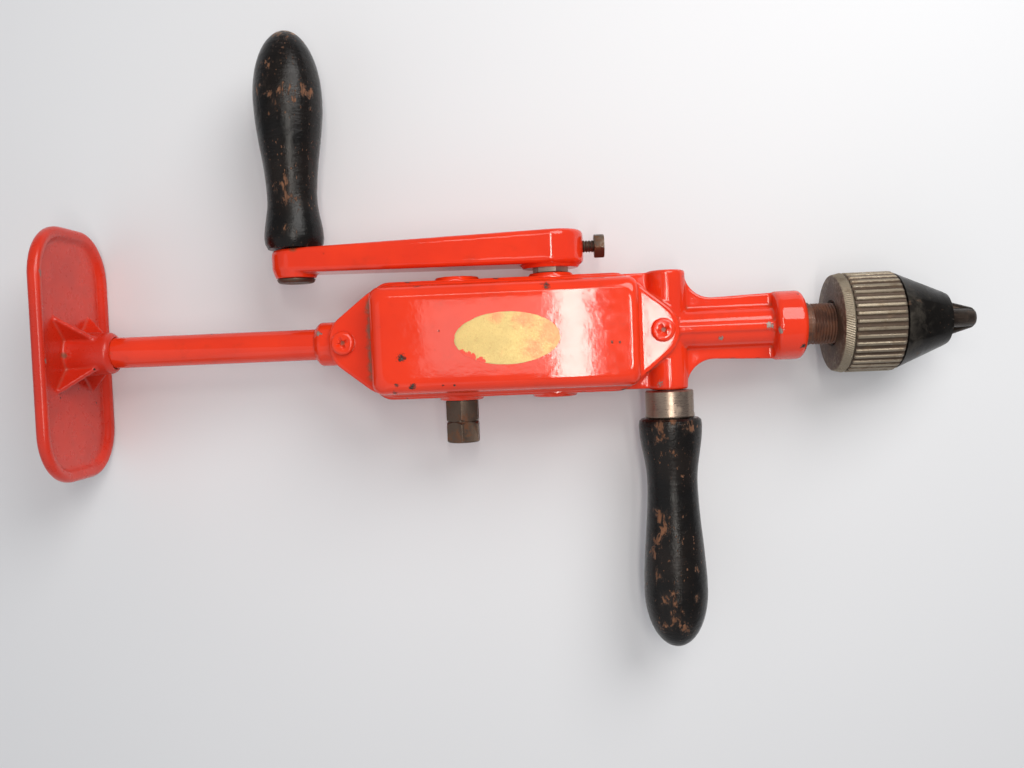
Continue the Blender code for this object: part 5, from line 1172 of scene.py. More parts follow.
def cover_rings(wall, bottom):
    """The cover box from its foot up, drawn in by a wall's thickness."""
    rear = TUB_REAR + COVER_REAR_INSET + wall
    front = TUB_FRONT + COVER_FRONT_OVERHANG - wall
    half = COVER_HALF_WIDTH - wall
    top = COVER_TOP - wall
    rings = [at_height(box_outline(rear, front, half, COVER_CORNER), bottom)]
    for angle in QUARTER:
        drawn = 1 - cos(angle)
        outline = box_outline(
            rear + (COVER_REAR_EDGE - wall) * drawn,
            front - COVER_DRAFT - (COVER_FRONT_EDGE - wall) * drawn,
            half - COVER_DRAFT - (COVER_SIDE_EDGE - wall) * drawn,
            COVER_CORNER,
        )
        rings.append(at_height(outline, top - (COVER_SIDE_EDGE - wall) * (1 - sin(angle))))
    return rings


def add_cover(skin):
    """The lid over the gears: a flange with the housing's outline and a rounded box on it."""
    edge = FLANGE_THICKNESS / 4
    flange = [
        at_height(flange_outline(), FLANGE_BASE),
        at_height(flange_outline(), FLANGE_TOP - edge),
        at_height(flange_outline(edge), FLANGE_TOP),
    ]
    shells = [lofted("flange", flange), lofted("cover box", cover_rings(0, FLANGE_BASE + GAP))]
    low = FLANGE_BASE - OVERRUN
    cutters = [lofted("cover room", cover_rings(COVER_WALL, low))]
    for place in SCREW_PLACES.values():
        at_screw = DRILL @ Matrix.Translation((place, 0, 0))
        cutters.append(plug("clearance", SCREW_RADIUS + GAP, low, FLANGE_TOP + OVERRUN, at_screw))
    return cast("cover_casting", shells, cutters, skin, chip=COVER_CHIPS, dirt=COVER_DIRT)


def plate_ring(inset, place):
    """The breast plate's long outline with round corners, upright across the spindle's line."""
    along = PLATE_HALF_LENGTH - inset
    corners = rectangle(-along, along, PLATE_HALF_WIDTH - inset)
    outline = rounded_outline(corners, [PLATE_CORNER - inset] * 4, ROUND_SIDES // 4)
    return [(place, y, z) for y, z in outline]


def add_breast_plate(skin):
    """A shallow tray with a round lip, the tube's boss and its four ribs."""
    rings = [plate_ring(inset, PLATE_BACK + rise) for inset, rise in edge_arc(PLATE_BACK_EDGE)]
    crest = PLATE_LIP_WIDTH * LIP_CREST_SHARE
    drop = PLATE_LIP_HEIGHT * LIP_DROP_SHARE
    rings += [
        plate_ring(0, PLATE_FRONT - PLATE_LIP_HEIGHT / 2),
        plate_ring(crest / 2, PLATE_FRONT - drop),
        plate_ring(crest, PLATE_FRONT),
        plate_ring(PLATE_LIP_WIDTH, PLATE_FRONT - drop),
        plate_ring(PLATE_LIP_WIDTH + PLATE_TRAY_SLOPE, PLATE_TRAY),
    ]
    root = PLATE_TRAY - PLATE_FLOOR / 2
    end_radius = PLATE_BOSS_RADIUS - PLATE_BOSS_TAPER
    boss = [
        (PLATE_BOSS_RADIUS, root),
        (end_radius, PLATE_BOSS_FRONT - PLATE_BOSS_EDGE),
        (end_radius - PLATE_BOSS_EDGE, PLATE_BOSS_FRONT),
    ]
    shells = [lofted("plate", rings), turned("plate boss", closed(boss))]
    rib = [
        (TUBE_RADIUS, root),
        (PLATE_RIB_REACH, root),
        (PLATE_RIB_REACH, PLATE_TRAY + PLATE_RIB_HALF_THICKNESS),
        (end_radius - PLATE_BOSS_EDGE, PLATE_TRAY + PLATE_RIB_HEIGHT),
        (TUBE_RADIUS, PLATE_TRAY + PLATE_RIB_HEIGHT),
    ]
    for quarter in range(4):
        around = SPINDLE_LINE @ Matrix.Rotation(pi / 4 + pi / 2 * quarter, 4, "Z")
        sides = [[(x, side * PLATE_RIB_HALF_THICKNESS, z) for x, z in rib] for side in (-1, 1)]
        shells.append(lofted("plate rib", sides, around))
    bore = plug("plate bore", TUBE_RADIUS + GAP, PLATE_BORE_END, PLATE_BOSS_FRONT + OVERRUN)
    return cast("breast_plate_casting", shells, [bore], skin, nick=PLATE_NICKS, dirt=PLATE_DIRT)


def arm_ring(inset, hub_face, end_face, depth):
    """The arm's outline, drawn in by inset, at a depth from a face that slopes from hub to end."""
    tangent = acos((ARM_HUB_RADIUS - ARM_END_RADIUS) / CRANK_REACH)
    half = ROUND_SIDES // 2
    hub = [polar(ARM_HUB_RADIUS - inset, tangent * (2 * step / half - 1)) for step in range(half + 1)]
    turn = 2 * pi - 2 * tangent
    end = [polar(ARM_END_RADIUS - inset, tangent + turn * step / half) for step in range(half + 1)]
    outline = hub + [(x - CRANK_REACH, y) for x, y in end]
    return [(x, y, hub_face - (end_face - hub_face) * x / CRANK_REACH + depth) for x, y in outline]


def add_crank_arm(skin):
    """The arm with its two hubs, the hexagon hole, the axle hole and the set screw's hole."""
    edge = edge_arc(ARM_EDGE)
    rings = [arm_ring(inset, ARM_FACE + ARM_HUB_PAD_HEIGHT, ARM_END_FACE, rise) for inset, rise in edge]
    rings += [arm_ring(inset, ARM_TOP, ARM_END_TOP, -rise) for inset, rise in reversed(edge)]
    end = [
        (ARM_END_RADIUS - ARM_END_PAD_TAPER, ARM_END_PAD_FACE),
        (ARM_END_RADIUS - GAP, ARM_END_FACE + ARM_END_PAD_TAPER),
        (ARM_END_RADIUS - GAP, ARM_END_FACE + ARM_END_THICKNESS / 2),
    ]
    shells = [
        lofted("arm", rings, CRANK_LINE),
        plug("hub pad", ARM_HUB_PAD_RADIUS, ARM_FACE, (ARM_FACE + ARM_TOP) / 2, CRANK_LINE),
        turned("end pad", closed(end), HANDLE_LINE),
    ]
    outline = hexagon(HEX_ACROSS_FLATS + 2 * GAP, CRANK_HEX_TURN)
    low = ARM_FACE - OVERRUN
    high = ARM_TOP + OVERRUN
    cutters = [
        prism("hexagon hole", outline, low, high, CRANK_LINE),
        plug("axle hole", AXLE_RADIUS + GAP, low, high, HANDLE_LINE),
        plug("set screw hole", SET_SCREW_RADIUS + GAP, 0, ARM_HUB_RADIUS + OVERRUN, SET_SCREW_LINE),
    ]
    return cast("crank_arm_casting", shells, cutters, skin, chip=ARM_CHIPS, dirt=ARM_DIRT)


def screw_recess(top, placing):
    """The two blades of a tapered cross recess."""
    rings = []
    stations = ((top - SCREW_SLOT_DEPTH, SCREW_SLOT_FOOT), (top, 1), (top + OVERRUN, SCREW_SLOT_MOUTH))
    for height, share in stations:
        long = SCREW_SLOT_HALF_LENGTH * share
        wide = SCREW_SLOT_HALF_WIDTH * (1 - SCREW_SLOT_TAPER * (1 - share))
        rings.append(at_height(rectangle(-long, long, wide), height))
    turns = [Matrix.Rotation(turn + SCREW_TURN, 4, "Z") for turn in (0, pi / 2)]
    return [lofted("recess", rings, placing @ turn) for turn in turns]


def add_cover_screw(name, skin):
    """A pan head screw with a cross slot, painted over with the cover."""
    place = SCREW_PLACES[name]
    seat = FLANGE_TOP + GAP
    top = seat + SCREW_HEAD_HEIGHT
    outline = [(SCREW_RADIUS, SPLIT_HEIGHT - SCREW_DEPTH), (SCREW_RADIUS, seat), (SCREW_HEAD_RADIUS, seat)]
    for angle in QUARTER:
        radius = SCREW_HEAD_RADIUS - SCREW_HEAD_HEIGHT / 2 * (1 - cos(angle))
        outline.append((radius, seat + SCREW_HEAD_HEIGHT / 2 * (1 + sin(angle))))
    at_screw = DRILL @ Matrix.Translation((place, 0, 0))
    screw = turned(f"{name}_painted", closed(outline), at_screw, skin, SMALL_SIDES)
    carve(screw, "DIFFERENCE", *screw_recess(top, at_screw))
    bevelled(screw, SCREW_SOFT_EDGE)
    # This spot darkens the cross recess and the middle of the head.
    recess = [(place, 0, top - SCREW_SLOT_DEPTH, SCREW_SLOT_HALF_LENGTH)]
    return worn(screw, sharp=45, spread=1, gain=0.5, dirt=recess)


def add_back_tube(skin):
    """The painted tube between the plate and the housing."""
    length = TUBE_FRONT - TUBE_REAR
    outline = [(TUBE_RADIUS, TUBE_REAR + length * step / TUBE_RINGS) for step in range(TUBE_RINGS + 1)]
    inner = TUBE_RADIUS - TUBE_WALL
    tube = turned("back_tube_painted", [(inner, TUBE_REAR), *outline, (inner, TUBE_FRONT)], skin=skin)
    return worn(tube, chip=TUBE_CHIPS, dirt=TUBE_DIRT)


def swell(start, end):
    """(radius, height) points that ease from one station to the next, level at both."""
    points = []
    for step in range(1, GRIP_SWELL_STEPS + 1):
        share = step / GRIP_SWELL_STEPS
        ease = (1 - cos(pi * share)) / 2
        points.append((start[0] + (end[0] - start[0]) * ease, start[1] + (end[1] - start[1]) * share))
    return points


def add_grip(name, hollow, stations, tip, line, skin, seed, rubs, tan_reach):
    """A turned grip with its hollow, a lip, shoulder, neck and bulge, and a quarter ellipse to its tip."""
    lip, shoulder, neck, bulge = stations
    outline = [*hollow, lip, shoulder, *swell(shoulder, neck), *swell(neck, bulge)]
    for step in range(1, GRIP_DOME_STEPS):
        angle = pi / 2 * step / GRIP_DOME_STEPS
        outline.append((bulge[0] * cos(angle), bulge[1] + (tip - bulge[1]) * sin(angle)))
    grip = turned(name, outline + [(0, tip)], line, skin)
    ruffle(grip.data, seed)
    end = DRILL.inverted() @ line @ Vector((0, 0, tip))
    return worn(grip, rub=rubs, tan=[(*end, tan_reach)])


def ruffle(mesh, seed):
    """Moves points along their normals by a smooth noise, as hand work and wear leave a form."""
    normals = read_points(mesh, "normal")
    places = read_points(mesh)
    offset = Vector((seed, seed, seed))
    shift = np.array([noise.noise(Vector(place) / GRIP_WAVE + offset) for place in places]) * GRIP_WAVE_DEPTH
    mesh.vertices.foreach_set("co", (places + normals * shift[:, None]).astype(np.float32).ravel())
    mesh.update()


def add_crank_grip(skin):
    """The grip that spins on the axle."""
    bore = AXLE_RADIUS + GAP
    bore_end = HANDLE_BASE + AXLE_REACH_IN_GRIP + GAP
    hollow = [(0, bore_end), (bore, bore_end), (bore, HANDLE_BASE), (HANDLE_BASE_RADIUS, HANDLE_BASE)]
    stations = [
        (HANDLE_SHOULDER_RADIUS - GAP, HANDLE_BASE + HANDLE_SHOULDER_PLACE / 2),
        (HANDLE_SHOULDER_RADIUS, HANDLE_BASE + HANDLE_SHOULDER_PLACE),
        (HANDLE_NECK_RADIUS, HANDLE_BASE + HANDLE_NECK_PLACE),
        (HANDLE_BULGE_RADIUS, HANDLE_BASE + HANDLE_BULGE_PLACE),
    ]
    wear = (CRANK_GRIP_SEED, CRANK_GRIP_RUBS, TAN_REACH)
    return add_grip("crank_grip_turned", hollow, stations, HANDLE_TIP, HANDLE_LINE, skin, *wear)


def add_side_grip(skin):
    """The fixed grip ahead, whose tail sits in its ferrule."""
    end = SIDE_GRIP_FACE + STUD_REACH_IN_GRIP + GAP
    tail = SIDE_FERRULE_FACE + FERRULE_WALL + GRIP_TAIL_CLEARANCE
    hole = STUD_RADIUS + GAP
    tail_radius = FERRULE_RADIUS - FERRULE_WALL - GAP
    hollow = [(0, end), (hole, end), (hole, tail), (tail_radius, tail), (tail_radius, SIDE_GRIP_FACE)]
    hollow.append((SIDE_SHOULDER_RADIUS - SIDE_SHOULDER_PLACE / 2, SIDE_GRIP_FACE))
    stations = [
        (SIDE_SHOULDER_RADIUS - GAP, SIDE_GRIP_FACE + SIDE_SHOULDER_PLACE / 3),
        (SIDE_SHOULDER_RADIUS, SIDE_GRIP_FACE + SIDE_SHOULDER_PLACE),
        (SIDE_NECK_RADIUS, SIDE_GRIP_FACE + SIDE_NECK_PLACE),
        (SIDE_BULGE_RADIUS, SIDE_GRIP_FACE + SIDE_BULGE_PLACE),
    ]
    wear = (SIDE_GRIP_SEED, SIDE_GRIP_RUBS, TAN_REACH / 2)
    return add_grip("side_grip_turned", hollow, stations, SIDE_TIP, SIDE_LINE, skin, *wear)


def add_ferrule(skin):
    hole = STUD_RADIUS + GAP
    flare = FERRULE_RADIUS + FERRULE_WALL / 4
    soft = FERRULE_WALL / 2
    top = SIDE_GRIP_FACE - GAP
    outline = [
        (hole, SIDE_FERRULE_FACE),
        (FERRULE_RADIUS - soft, SIDE_FERRULE_FACE),
        (FERRULE_RADIUS, SIDE_FERRULE_FACE + soft),
        (FERRULE_RADIUS, top - FERRULE_WALL * 2),
        (flare, top - FERRULE_WALL),
        (flare, top - soft),
        (FERRULE_RADIUS, top),
        (FERRULE_RADIUS - FERRULE_WALL, top),
        (FERRULE_RADIUS - FERRULE_WALL, SIDE_FERRULE_FACE + FERRULE_WALL),
        (hole, SIDE_FERRULE_FACE + FERRULE_WALL),
    ]
    return worn(turned("ferrule_turned", outline, SIDE_LINE, skin), sharp=40)


def add_cross_shaft(name, line, side, turn, end, skin, groove=False):
    """A stepped shaft across the housing, with its hexagon on the side given as 1 or -1."""
    body = stepped(-BOSS_FACE, (CROSS_SHAFT_JOURNAL, -HUB_FACE), (CROSS_SHAFT_RADIUS, HEX_START + GAP))
    shaft = turned(name, [(radius, side * place) for radius, place in body], line, skin, SMALL_SIDES)
    bar = prism("bar", hexagon(HEX_ACROSS_FLATS, turn), side * HEX_START, side * end, line)
    rim = HEX_CORNER + GAP
    limit = closed([(rim, HEX_START - OVERRUN), (rim, end - HEX_CHAMFER), (HEX_ACROSS_FLATS / 2 - GAP, end)])
    carve(bar, "INTERSECT", turned("limit", [(radius, side * place) for radius, place in limit], line))
    carve(shaft, "UNION", bar)
    if groove:
        place = -(HEX_START + HEX_GROOVE_PLACE)
        rim = HEX_CORNER + OVERRUN
        spread = HEX_GROOVE_HALF * (HEX_GROOVE_DEPTH + OVERRUN) / HEX_GROOVE_DEPTH
        vee = [(HEX_CORNER - HEX_GROOVE_DEPTH, place), (rim, place - spread), (rim, place + spread)]
        carve(shaft, "DIFFERENCE", turned("groove", vee, line))
        dimple = [(0, -end - OVERRUN), (CENTRE_RADIUS * 2, -end - OVERRUN), (0, CENTRE_RADIUS - end)]
        carve(shaft, "DIFFERENCE", turned("centre", dimple, line, sides=SMALL_SIDES))
    bevelled(shaft, HEX_SOFT_EDGE)
    return worn(shaft, spread=1, gain=2.0)


def add_set_screw(skin):
    """The hexagon-headed screw that clamps the arm on its shaft, its neck threaded."""
    neck_end = ARM_HUB_RADIUS + SET_SCREW_NECK
    head_end = neck_end + SET_SCREW_HEAD_LENGTH
    tip = HEX_CORNER + GAP
    root = SET_SCREW_RADIUS - THREAD_DEPTH
    outline = []
    for ridge in range(int((neck_end - tip) / THREAD_PITCH)):
        start = tip + ridge * THREAD_PITCH
        outline += [(root, start), (SET_SCREW_RADIUS, start + THREAD_PITCH / 2)]
    outline.append((root, neck_end + GAP))
    screw = turned("crank_set_screw_cut", closed(outline), SET_SCREW_LINE, skin, SMALL_SIDES)
    flats = hexagon(SET_SCREW_ACROSS_FLATS, SET_SCREW_TURN)
    head = prism("head", flats, neck_end, head_end, SET_SCREW_LINE)
    corner = SET_SCREW_ACROSS_FLATS / 2 / cos(pi / 6) + GAP
    flat = SET_SCREW_ACROSS_FLATS / 2 - GAP
    cap = [(flat, neck_end - GAP), (corner, neck_end + SET_SCREW_CHAMFER)]
    cap += [(corner, head_end - SET_SCREW_CHAMFER), (flat, head_end + GAP)]
    carve(head, "INTERSECT", turned("cap", closed(cap), SET_SCREW_LINE))
    carve(screw, "UNION", head)
    bevelled(screw, HEX_SOFT_EDGE, 2)
    return worn(screw, spread=1, gain=2.0)


def add_handle_axle(skin):
    """The pin through the arm's end, with its low round head behind the arm."""
    head_top = ARM_END_PAD_FACE - GAP
    end = HANDLE_BASE + AXLE_REACH_IN_GRIP
    outline = [(0, head_top - AXLE_HEAD_HEIGHT)]
    for angle in QUARTER:
        radius = AXLE_HEAD_RADIUS - AXLE_HEAD_HEIGHT * (1 - sin(angle))
        outline.append((radius, head_top - AXLE_EDGE_HEIGHT * cos(angle)))
    outline += [(AXLE_HEAD_RADIUS, head_top), (AXLE_RADIUS, head_top), (AXLE_RADIUS, end), (0, end)]
    axle = turned("handle_axle_turned", outline, HANDLE_LINE, skin, SMALL_SIDES)
    return worn(axle, spread=1, gain=1.0)


def threaded_ring(radius, height, start, end):
    """One ring of a threaded rod: its radius follows a vee thread, faded out near both ends."""
    fade = max(0, min(1, (height - start) / THREAD_PITCH, (end - height) / THREAD_PITCH))
    radii = []
    for step in range(SMALL_SIDES):
        vee = abs(2 * ((height / THREAD_PITCH - step / SMALL_SIDES) % 1) - 1)
        radii.append(radius - THREAD_DEPTH * (1 - (1 - vee) * fade))
    return circle(radii, height)


def add_spindle(skin):
    """The spindle, with its threaded nose that the chuck screws on."""
    seat = (SPINDLE_SEAT_RADIUS, SPINDLE_SEAT_END)
    middle = (SPINDLE_REAR_RADIUS, SPINDLE_SHOULDER)
    stations = stepped(SPINDLE_TAIL, seat, middle, (SPINDLE_RADIUS, COLLAR_FACE))[1:-1]
    stations.append((SPINDLE_NOSE_RADIUS - THREAD_DEPTH, COLLAR_FACE))
    rings = [circle([radius] * SMALL_SIDES, height) for radius, height in stations]
    start = COLLAR_FACE + GAP
    end = SPINDLE_END - SPINDLE_NOSE_CHAMFER
    count = int((end - start) / THREAD_PITCH * THREAD_STEPS)
    for step in range(count + 1):
        rings.append(threaded_ring(SPINDLE_NOSE_RADIUS, start + (end - start) * step / count, start, end))
    rings.append(circle([SPINDLE_NOSE_RADIUS - SPINDLE_NOSE_CHAMFER] * SMALL_SIDES, SPINDLE_END))
    return worn(lofted("spindle_threaded", rings, SPINDLE_LINE, skin), gain=1.5)


def ridged_ring(tip_radius, height, depth=RIDGE_DEPTH):
    """One cross-section of the knurl: straight ridges with sloping flanks and rounded crests."""
    pitch = 2 * pi / RIDGE_COUNT
    points = []
    for ridge in range(RIDGE_COUNT):
        for share, sink in RIDGE_FORM:
            points.append(polar(tip_radius - depth * sink, pitch * (ridge + share / 2)))
    return at_height(points, height)


def serrated_ring(tip_radius, height, depth=0.0):
    """One cross-section of the flange, whose fine slanted serrations lean with the height."""
    radii = [tip_radius - depth * sink for sink in SERRATION_FORM] * SERRATIONS
    return circle(radii, height, (height - CHUCK_REAR) * SERRATION_LEAN)


def knurled(piece, depth):
    """Stores crest: one on top of the ridges and zero at the foot of the grooves."""
    inverse = np.array(SPINDLE_LINE.inverted())
    local = read_points(piece.data) @ inverse[:3, :3].T + inverse[:3, 3]
    radius = np.hypot(local[:, 0], local[:, 1])
    store(piece, "crest", np.clip((radius - SLEEVE_RADIUS + depth) / depth, 0, 1))
    return worn(piece)


def add_chuck_body(skin):
    """The core that screws on the spindle, with a serrated flange behind the sleeve."""
    small = SLEEVE_RADIUS - CHUCK_FLANGE_SLANT
    rings = [
        serrated_ring(small - KNURL_EDGE, CHUCK_REAR),
        serrated_ring(small, CHUCK_REAR + KNURL_EDGE / 2, SERRATION_DEPTH),
        serrated_ring(SLEEVE_RADIUS, CHUCK_FLANGE_FRONT - KNURL_EDGE, SERRATION_DEPTH),
        serrated_ring(SLEEVE_RADIUS - KNURL_EDGE, CHUCK_FLANGE_FRONT),
    ]
    body = lofted("chuck_body_knurled", rings, SPINDLE_LINE, skin)
    core = stepped(
        CHUCK_REAR + GAP * 2,
        (CHUCK_CORE_RADIUS, RING_REAR - GAP),
        (CHUCK_CORE_RADIUS - RING_GROOVE_DEPTH, RING_FRONT + GAP),
        (CHUCK_CORE_RADIUS, CHUCK_CORE_FRONT),
    )
    carve(body, "UNION", turned("chuck core", core))
    thread = SPINDLE_NOSE_RADIUS + GAP
    lead = [
        (SPINDLE_NOSE_RADIUS + OVERRUN + SPINDLE_NOSE_CHAMFER, CHUCK_REAR - OVERRUN),
        (thread, CHUCK_REAR + SPINDLE_NOSE_CHAMFER),
        (thread, SPINDLE_END + GAP),
    ]
    cutters = [turned("chuck thread", closed(lead))]
    slot = rectangle(TENON_INNER - GAP, CHUCK_CORE_RADIUS + OVERRUN, TENON_HALF_WIDTH + GAP)
    low = CHUCK_CORE_FRONT - CHUCK_SLOT_DEPTH
    for line in JAW_LINES:
        cutters.append(prism("jaw slot", slot, low, CHUCK_CORE_FRONT + OVERRUN, line))
    carve(body, "DIFFERENCE", *cutters)
    return knurled(body, FLANGE_CREST_DEPTH)


def add_chuck_sleeve(skin):
    """The knurled sleeve that turns on the core and drives the nose."""
    rings = [
        ridged_ring(SLEEVE_RADIUS - KNURL_EDGE, SLEEVE_REAR, RIDGE_DEPTH / 3),
        ridged_ring(SLEEVE_RADIUS, SLEEVE_REAR + KNURL_EDGE),
        ridged_ring(SLEEVE_RADIUS, SLEEVE_FRONT - KNURL_EDGE * 2),
        ridged_ring(SLEEVE_RADIUS - KNURL_EDGE / 3, SLEEVE_FRONT - KNURL_EDGE, RIDGE_END_DEPTH),
        ridged_ring(SLEEVE_RADIUS - KNURL_EDGE, SLEEVE_FRONT, RIDGE_DEPTH / 3),
    ]
    sleeve = lofted("chuck_sleeve_knurled", rings, SPINDLE_LINE, skin)
    lip = (CHUCK_CORE_RADIUS + GAP, SLEEVE_LIP_FRONT)
    room = stepped(SLEEVE_REAR - OVERRUN, lip, (SLEEVE_BORE, SLEEVE_FRONT + OVERRUN))
    carve(sleeve, "DIFFERENCE", turned("sleeve room", room))
    return knurled(sleeve, RIDGE_DEPTH)


def jaw_bar(name, radius, rear, front, line, skin=None):
    """A round bar on a jaw's slanting axis, overlong at both ends."""
    lean = Matrix.Translation((JAW_AXIS_AT_NOSE, 0, NOSE_FRONT)) @ Matrix.Rotation(-JAW_ANGLE, 4, "Y")
    start = (rear - NOSE_FRONT) / cos(JAW_ANGLE) - OVERRUN
    end = (front - NOSE_FRONT) / cos(JAW_ANGLE) + OVERRUN
    return plug(name, radius, start, end, line @ lean, skin, SMALL_SIDES)


def add_chuck_nose(skin):
    """The cone that the sleeve screws forward, with a skirt behind and three slanting jaw grooves."""
    outline = [
        (SKIRT_BORE, SKIRT_REAR),
        (SKIRT_RADIUS, SKIRT_REAR),
        (SKIRT_RADIUS, CONE_REAR),
        (NOSE_REAR_RADIUS - NOSE_REAR_EDGE, CONE_REAR),
        (NOSE_REAR_RADIUS, CONE_REAR + NOSE_REAR_EDGE),
        (NOSE_FRONT_RADIUS, CONE_FRONT),
        (NOSE_FRONT_RADIUS - NOSE_FRONT_EDGE / 2, NOSE_FRONT),
        (NOSE_CAVITY_FRONT_RADIUS, NOSE_FRONT),
        (NOSE_CAVITY_REAR_RADIUS, CONE_REAR),
        (SKIRT_BORE, CONE_REAR),
    ]
    nose = turned("chuck_nose_cone", outline, skin=skin)
    rear = SKIRT_REAR - OVERRUN
    front = NOSE_FRONT + OVERRUN
    reach = JAW_BACK_RADIUS + JAW_TRAVEL + GAP
    for line in JAW_LINES:
        groove = jaw_bar("jaw groove", JAW_RADIUS + GAP, rear, front, line)
        carve(groove, "INTERSECT", plug("groove limit", reach, rear - OVERRUN, front))
        carve(nose, "DIFFERENCE", groove)
    bevelled(nose, NOSE_SOFT_EDGE, 2, 25)
    return worn(nose, gain=3.0)


def add_jaw(name, line, skin):
    """One jaw: a slanting bar cut to a third of a round, a turned tip and a tenon behind."""
    jaw = jaw_bar(name, JAW_RADIUS, JAW_REAR, JAW_TIP, line, skin)
    form = [
        (JAW_BACK_RADIUS, JAW_REAR),
        (JAW_BACK_RADIUS, NOSE_FRONT),
        (JAW_TIP_SHOULDER_RADIUS, JAW_TIP - JAW_TIP_LENGTH),
        (JAW_TIP_RADIUS, JAW_TIP),
    ]
    third = pi / JAW_COUNT
    ridge = JAW_SPLIT / 2 / sin(third)
    far, side = polar(SLEEVE_RADIUS, third)
    corners = [(ridge + far, -side), (ridge + SLEEVE_RADIUS, -side), (ridge + SLEEVE_RADIUS, side)]
    corners = [(ridge, 0), *corners, (ridge + far, side)]
    wedge = prism("jaw wedge", corners, JAW_REAR - OVERRUN, JAW_TIP + OVERRUN, line)
    carve(jaw, "INTERSECT", turned("jaw form", closed(form), line), wedge)
    tenon = rectangle(TENON_INNER, TENON_OUTER, TENON_HALF_WIDTH)
    low = CHUCK_CORE_FRONT - CHUCK_SLOT_DEPTH + GAP
    carve(jaw, "UNION", prism("jaw tenon", tenon, low, JAW_REAR + TENON_OVERLAP, line))
    bevelled(jaw, JAW_SOFT_EDGE, 2)
    return worn(jaw, gain=3.0)


def add_sticker(skin):
    """A plain oval of foil on the cover's flat top, with a slightly uneven, nibbled rim."""
    mesh = bmesh.new()
    centre = mesh.verts.new((STICKER_X, STICKER_Y, COVER_TOP + STICKER_THICKNESS))
    rows = []
    shares = [(step + 1) / STICKER_RINGS for step in range(STICKER_RINGS)]
    for share, height in [(share, STICKER_THICKNESS) for share in shares] + [(1.0, -STICKER_THICKNESS)]:
        row = []
        for step in range(STICKER_SIDES):
            along, across = polar(1, 2 * pi * step / STICKER_SIDES)
            nibble = max(0, noise.noise(Vector((along, across, 0)) * STICKER_NIBBLES))
            reach = share * (1 - STICKER_NIBBLE_SHARE * nibble * share ** STICKER_NIBBLES)
            x = STICKER_X + STICKER_HALF_LENGTH * reach * along
            y = STICKER_Y + STICKER_HALF_WIDTH * reach * across
            row.append(mesh.verts.new((x, y, COVER_TOP + height)))
        rows.append(row)
    for index in range(STICKER_SIDES):
        mesh.faces.new((centre, rows[0][index - 1], rows[0][index]))
        for inner, outer in zip(rows, rows[1:]):
            mesh.faces.new((inner[index - 1], outer[index - 1], outer[index], inner[index]))
    mesh.faces.new(rows[-1])
    sticker = add_mesh("plain_oval_sticker", mesh, DRILL, skin)
    places = read_points(sticker.data) - np.array(DRILL @ Vector((STICKER_X, STICKER_Y, 0)))
    store(sticker, "share", np.hypot(places[:, 0] / STICKER_HALF_LENGTH, places[:, 1] / STICKER_HALF_WIDTH))
    return worn(sticker, rub=STICKER_RUBS, chip=STICKER_TEARS)


def make_skins():
    """Each skin by its key, with its own colours and how far it has worn, rusted or dulled."""
    return {
        "enamel": enamel_skin("enamel_gloss", ORANGE_RED, (0.72, 0.034, 0.009), 0.045, 0.78),
        # The breast plate's paint is duller, and its darker red is partly painted shade for its upright
        # face, which takes less of the light from above.
        "dull_enamel_painted_shade": enamel_skin("enamel_dull_painted_shade", (0.66, 0.028, 0.007), (0.55, 0.022, 0.007), 0.26, 0.95),
        "wood": wood_skin(
            "lacquered_grip", (0.0036, 0.0030, 0.0027), (0.010, 0.0068, 0.0052), (0.22, 0.098, 0.050)
        ),
        "rusty": rusty_skin("rusty_steel", (0.110, 0.078, 0.058), (0.14, 0.062, 0.030)),
        "shaft": rusty_skin("oiled_steel", (0.20, 0.17, 0.15), (0.13, 0.085, 0.055), 0.62, 0.95),
        "gear": rusty_skin("greased_steel", (0.30, 0.28, 0.26), (0.13, 0.10, 0.075), 0.66, 1.0),
        "bronze": rusty_skin("bush_bronze", (0.46, 0.27, 0.12), (0.24, 0.13, 0.06), 0.60, 1.0),
        "nut": rusty_skin("rubbed_steel", (0.42, 0.36, 0.30), (0.17, 0.090, 0.050), 0.64, 0.95),
        "thread": rusty_skin("rusty_thread", (0.110, 0.055, 0.038), (0.145, 0.058, 0.030), 0.40, 0.6),
        "knurl": knurl_skin("knurled_steel", (0.30, 0.25, 0.185), (0.070, 0.043, 0.027)),
        "oxide": oxide_skin("black_oxide", (0.014, 0.0118, 0.010), (0.036, 0.031, 0.025)),
        "jaw": oxide_skin("browned_jaw", (0.028, 0.0190, 0.0135), (0.046, 0.032, 0.024)),
        "bright": bright_skin("ferrule_steel", (0.36, 0.275, 0.215), (1, 14, 1)),
        "sticker": sticker_skin("plain_sticker", (0.59, 0.425, 0.145), (0.72, 0.21, 0.09), ORANGE_RED),
    }


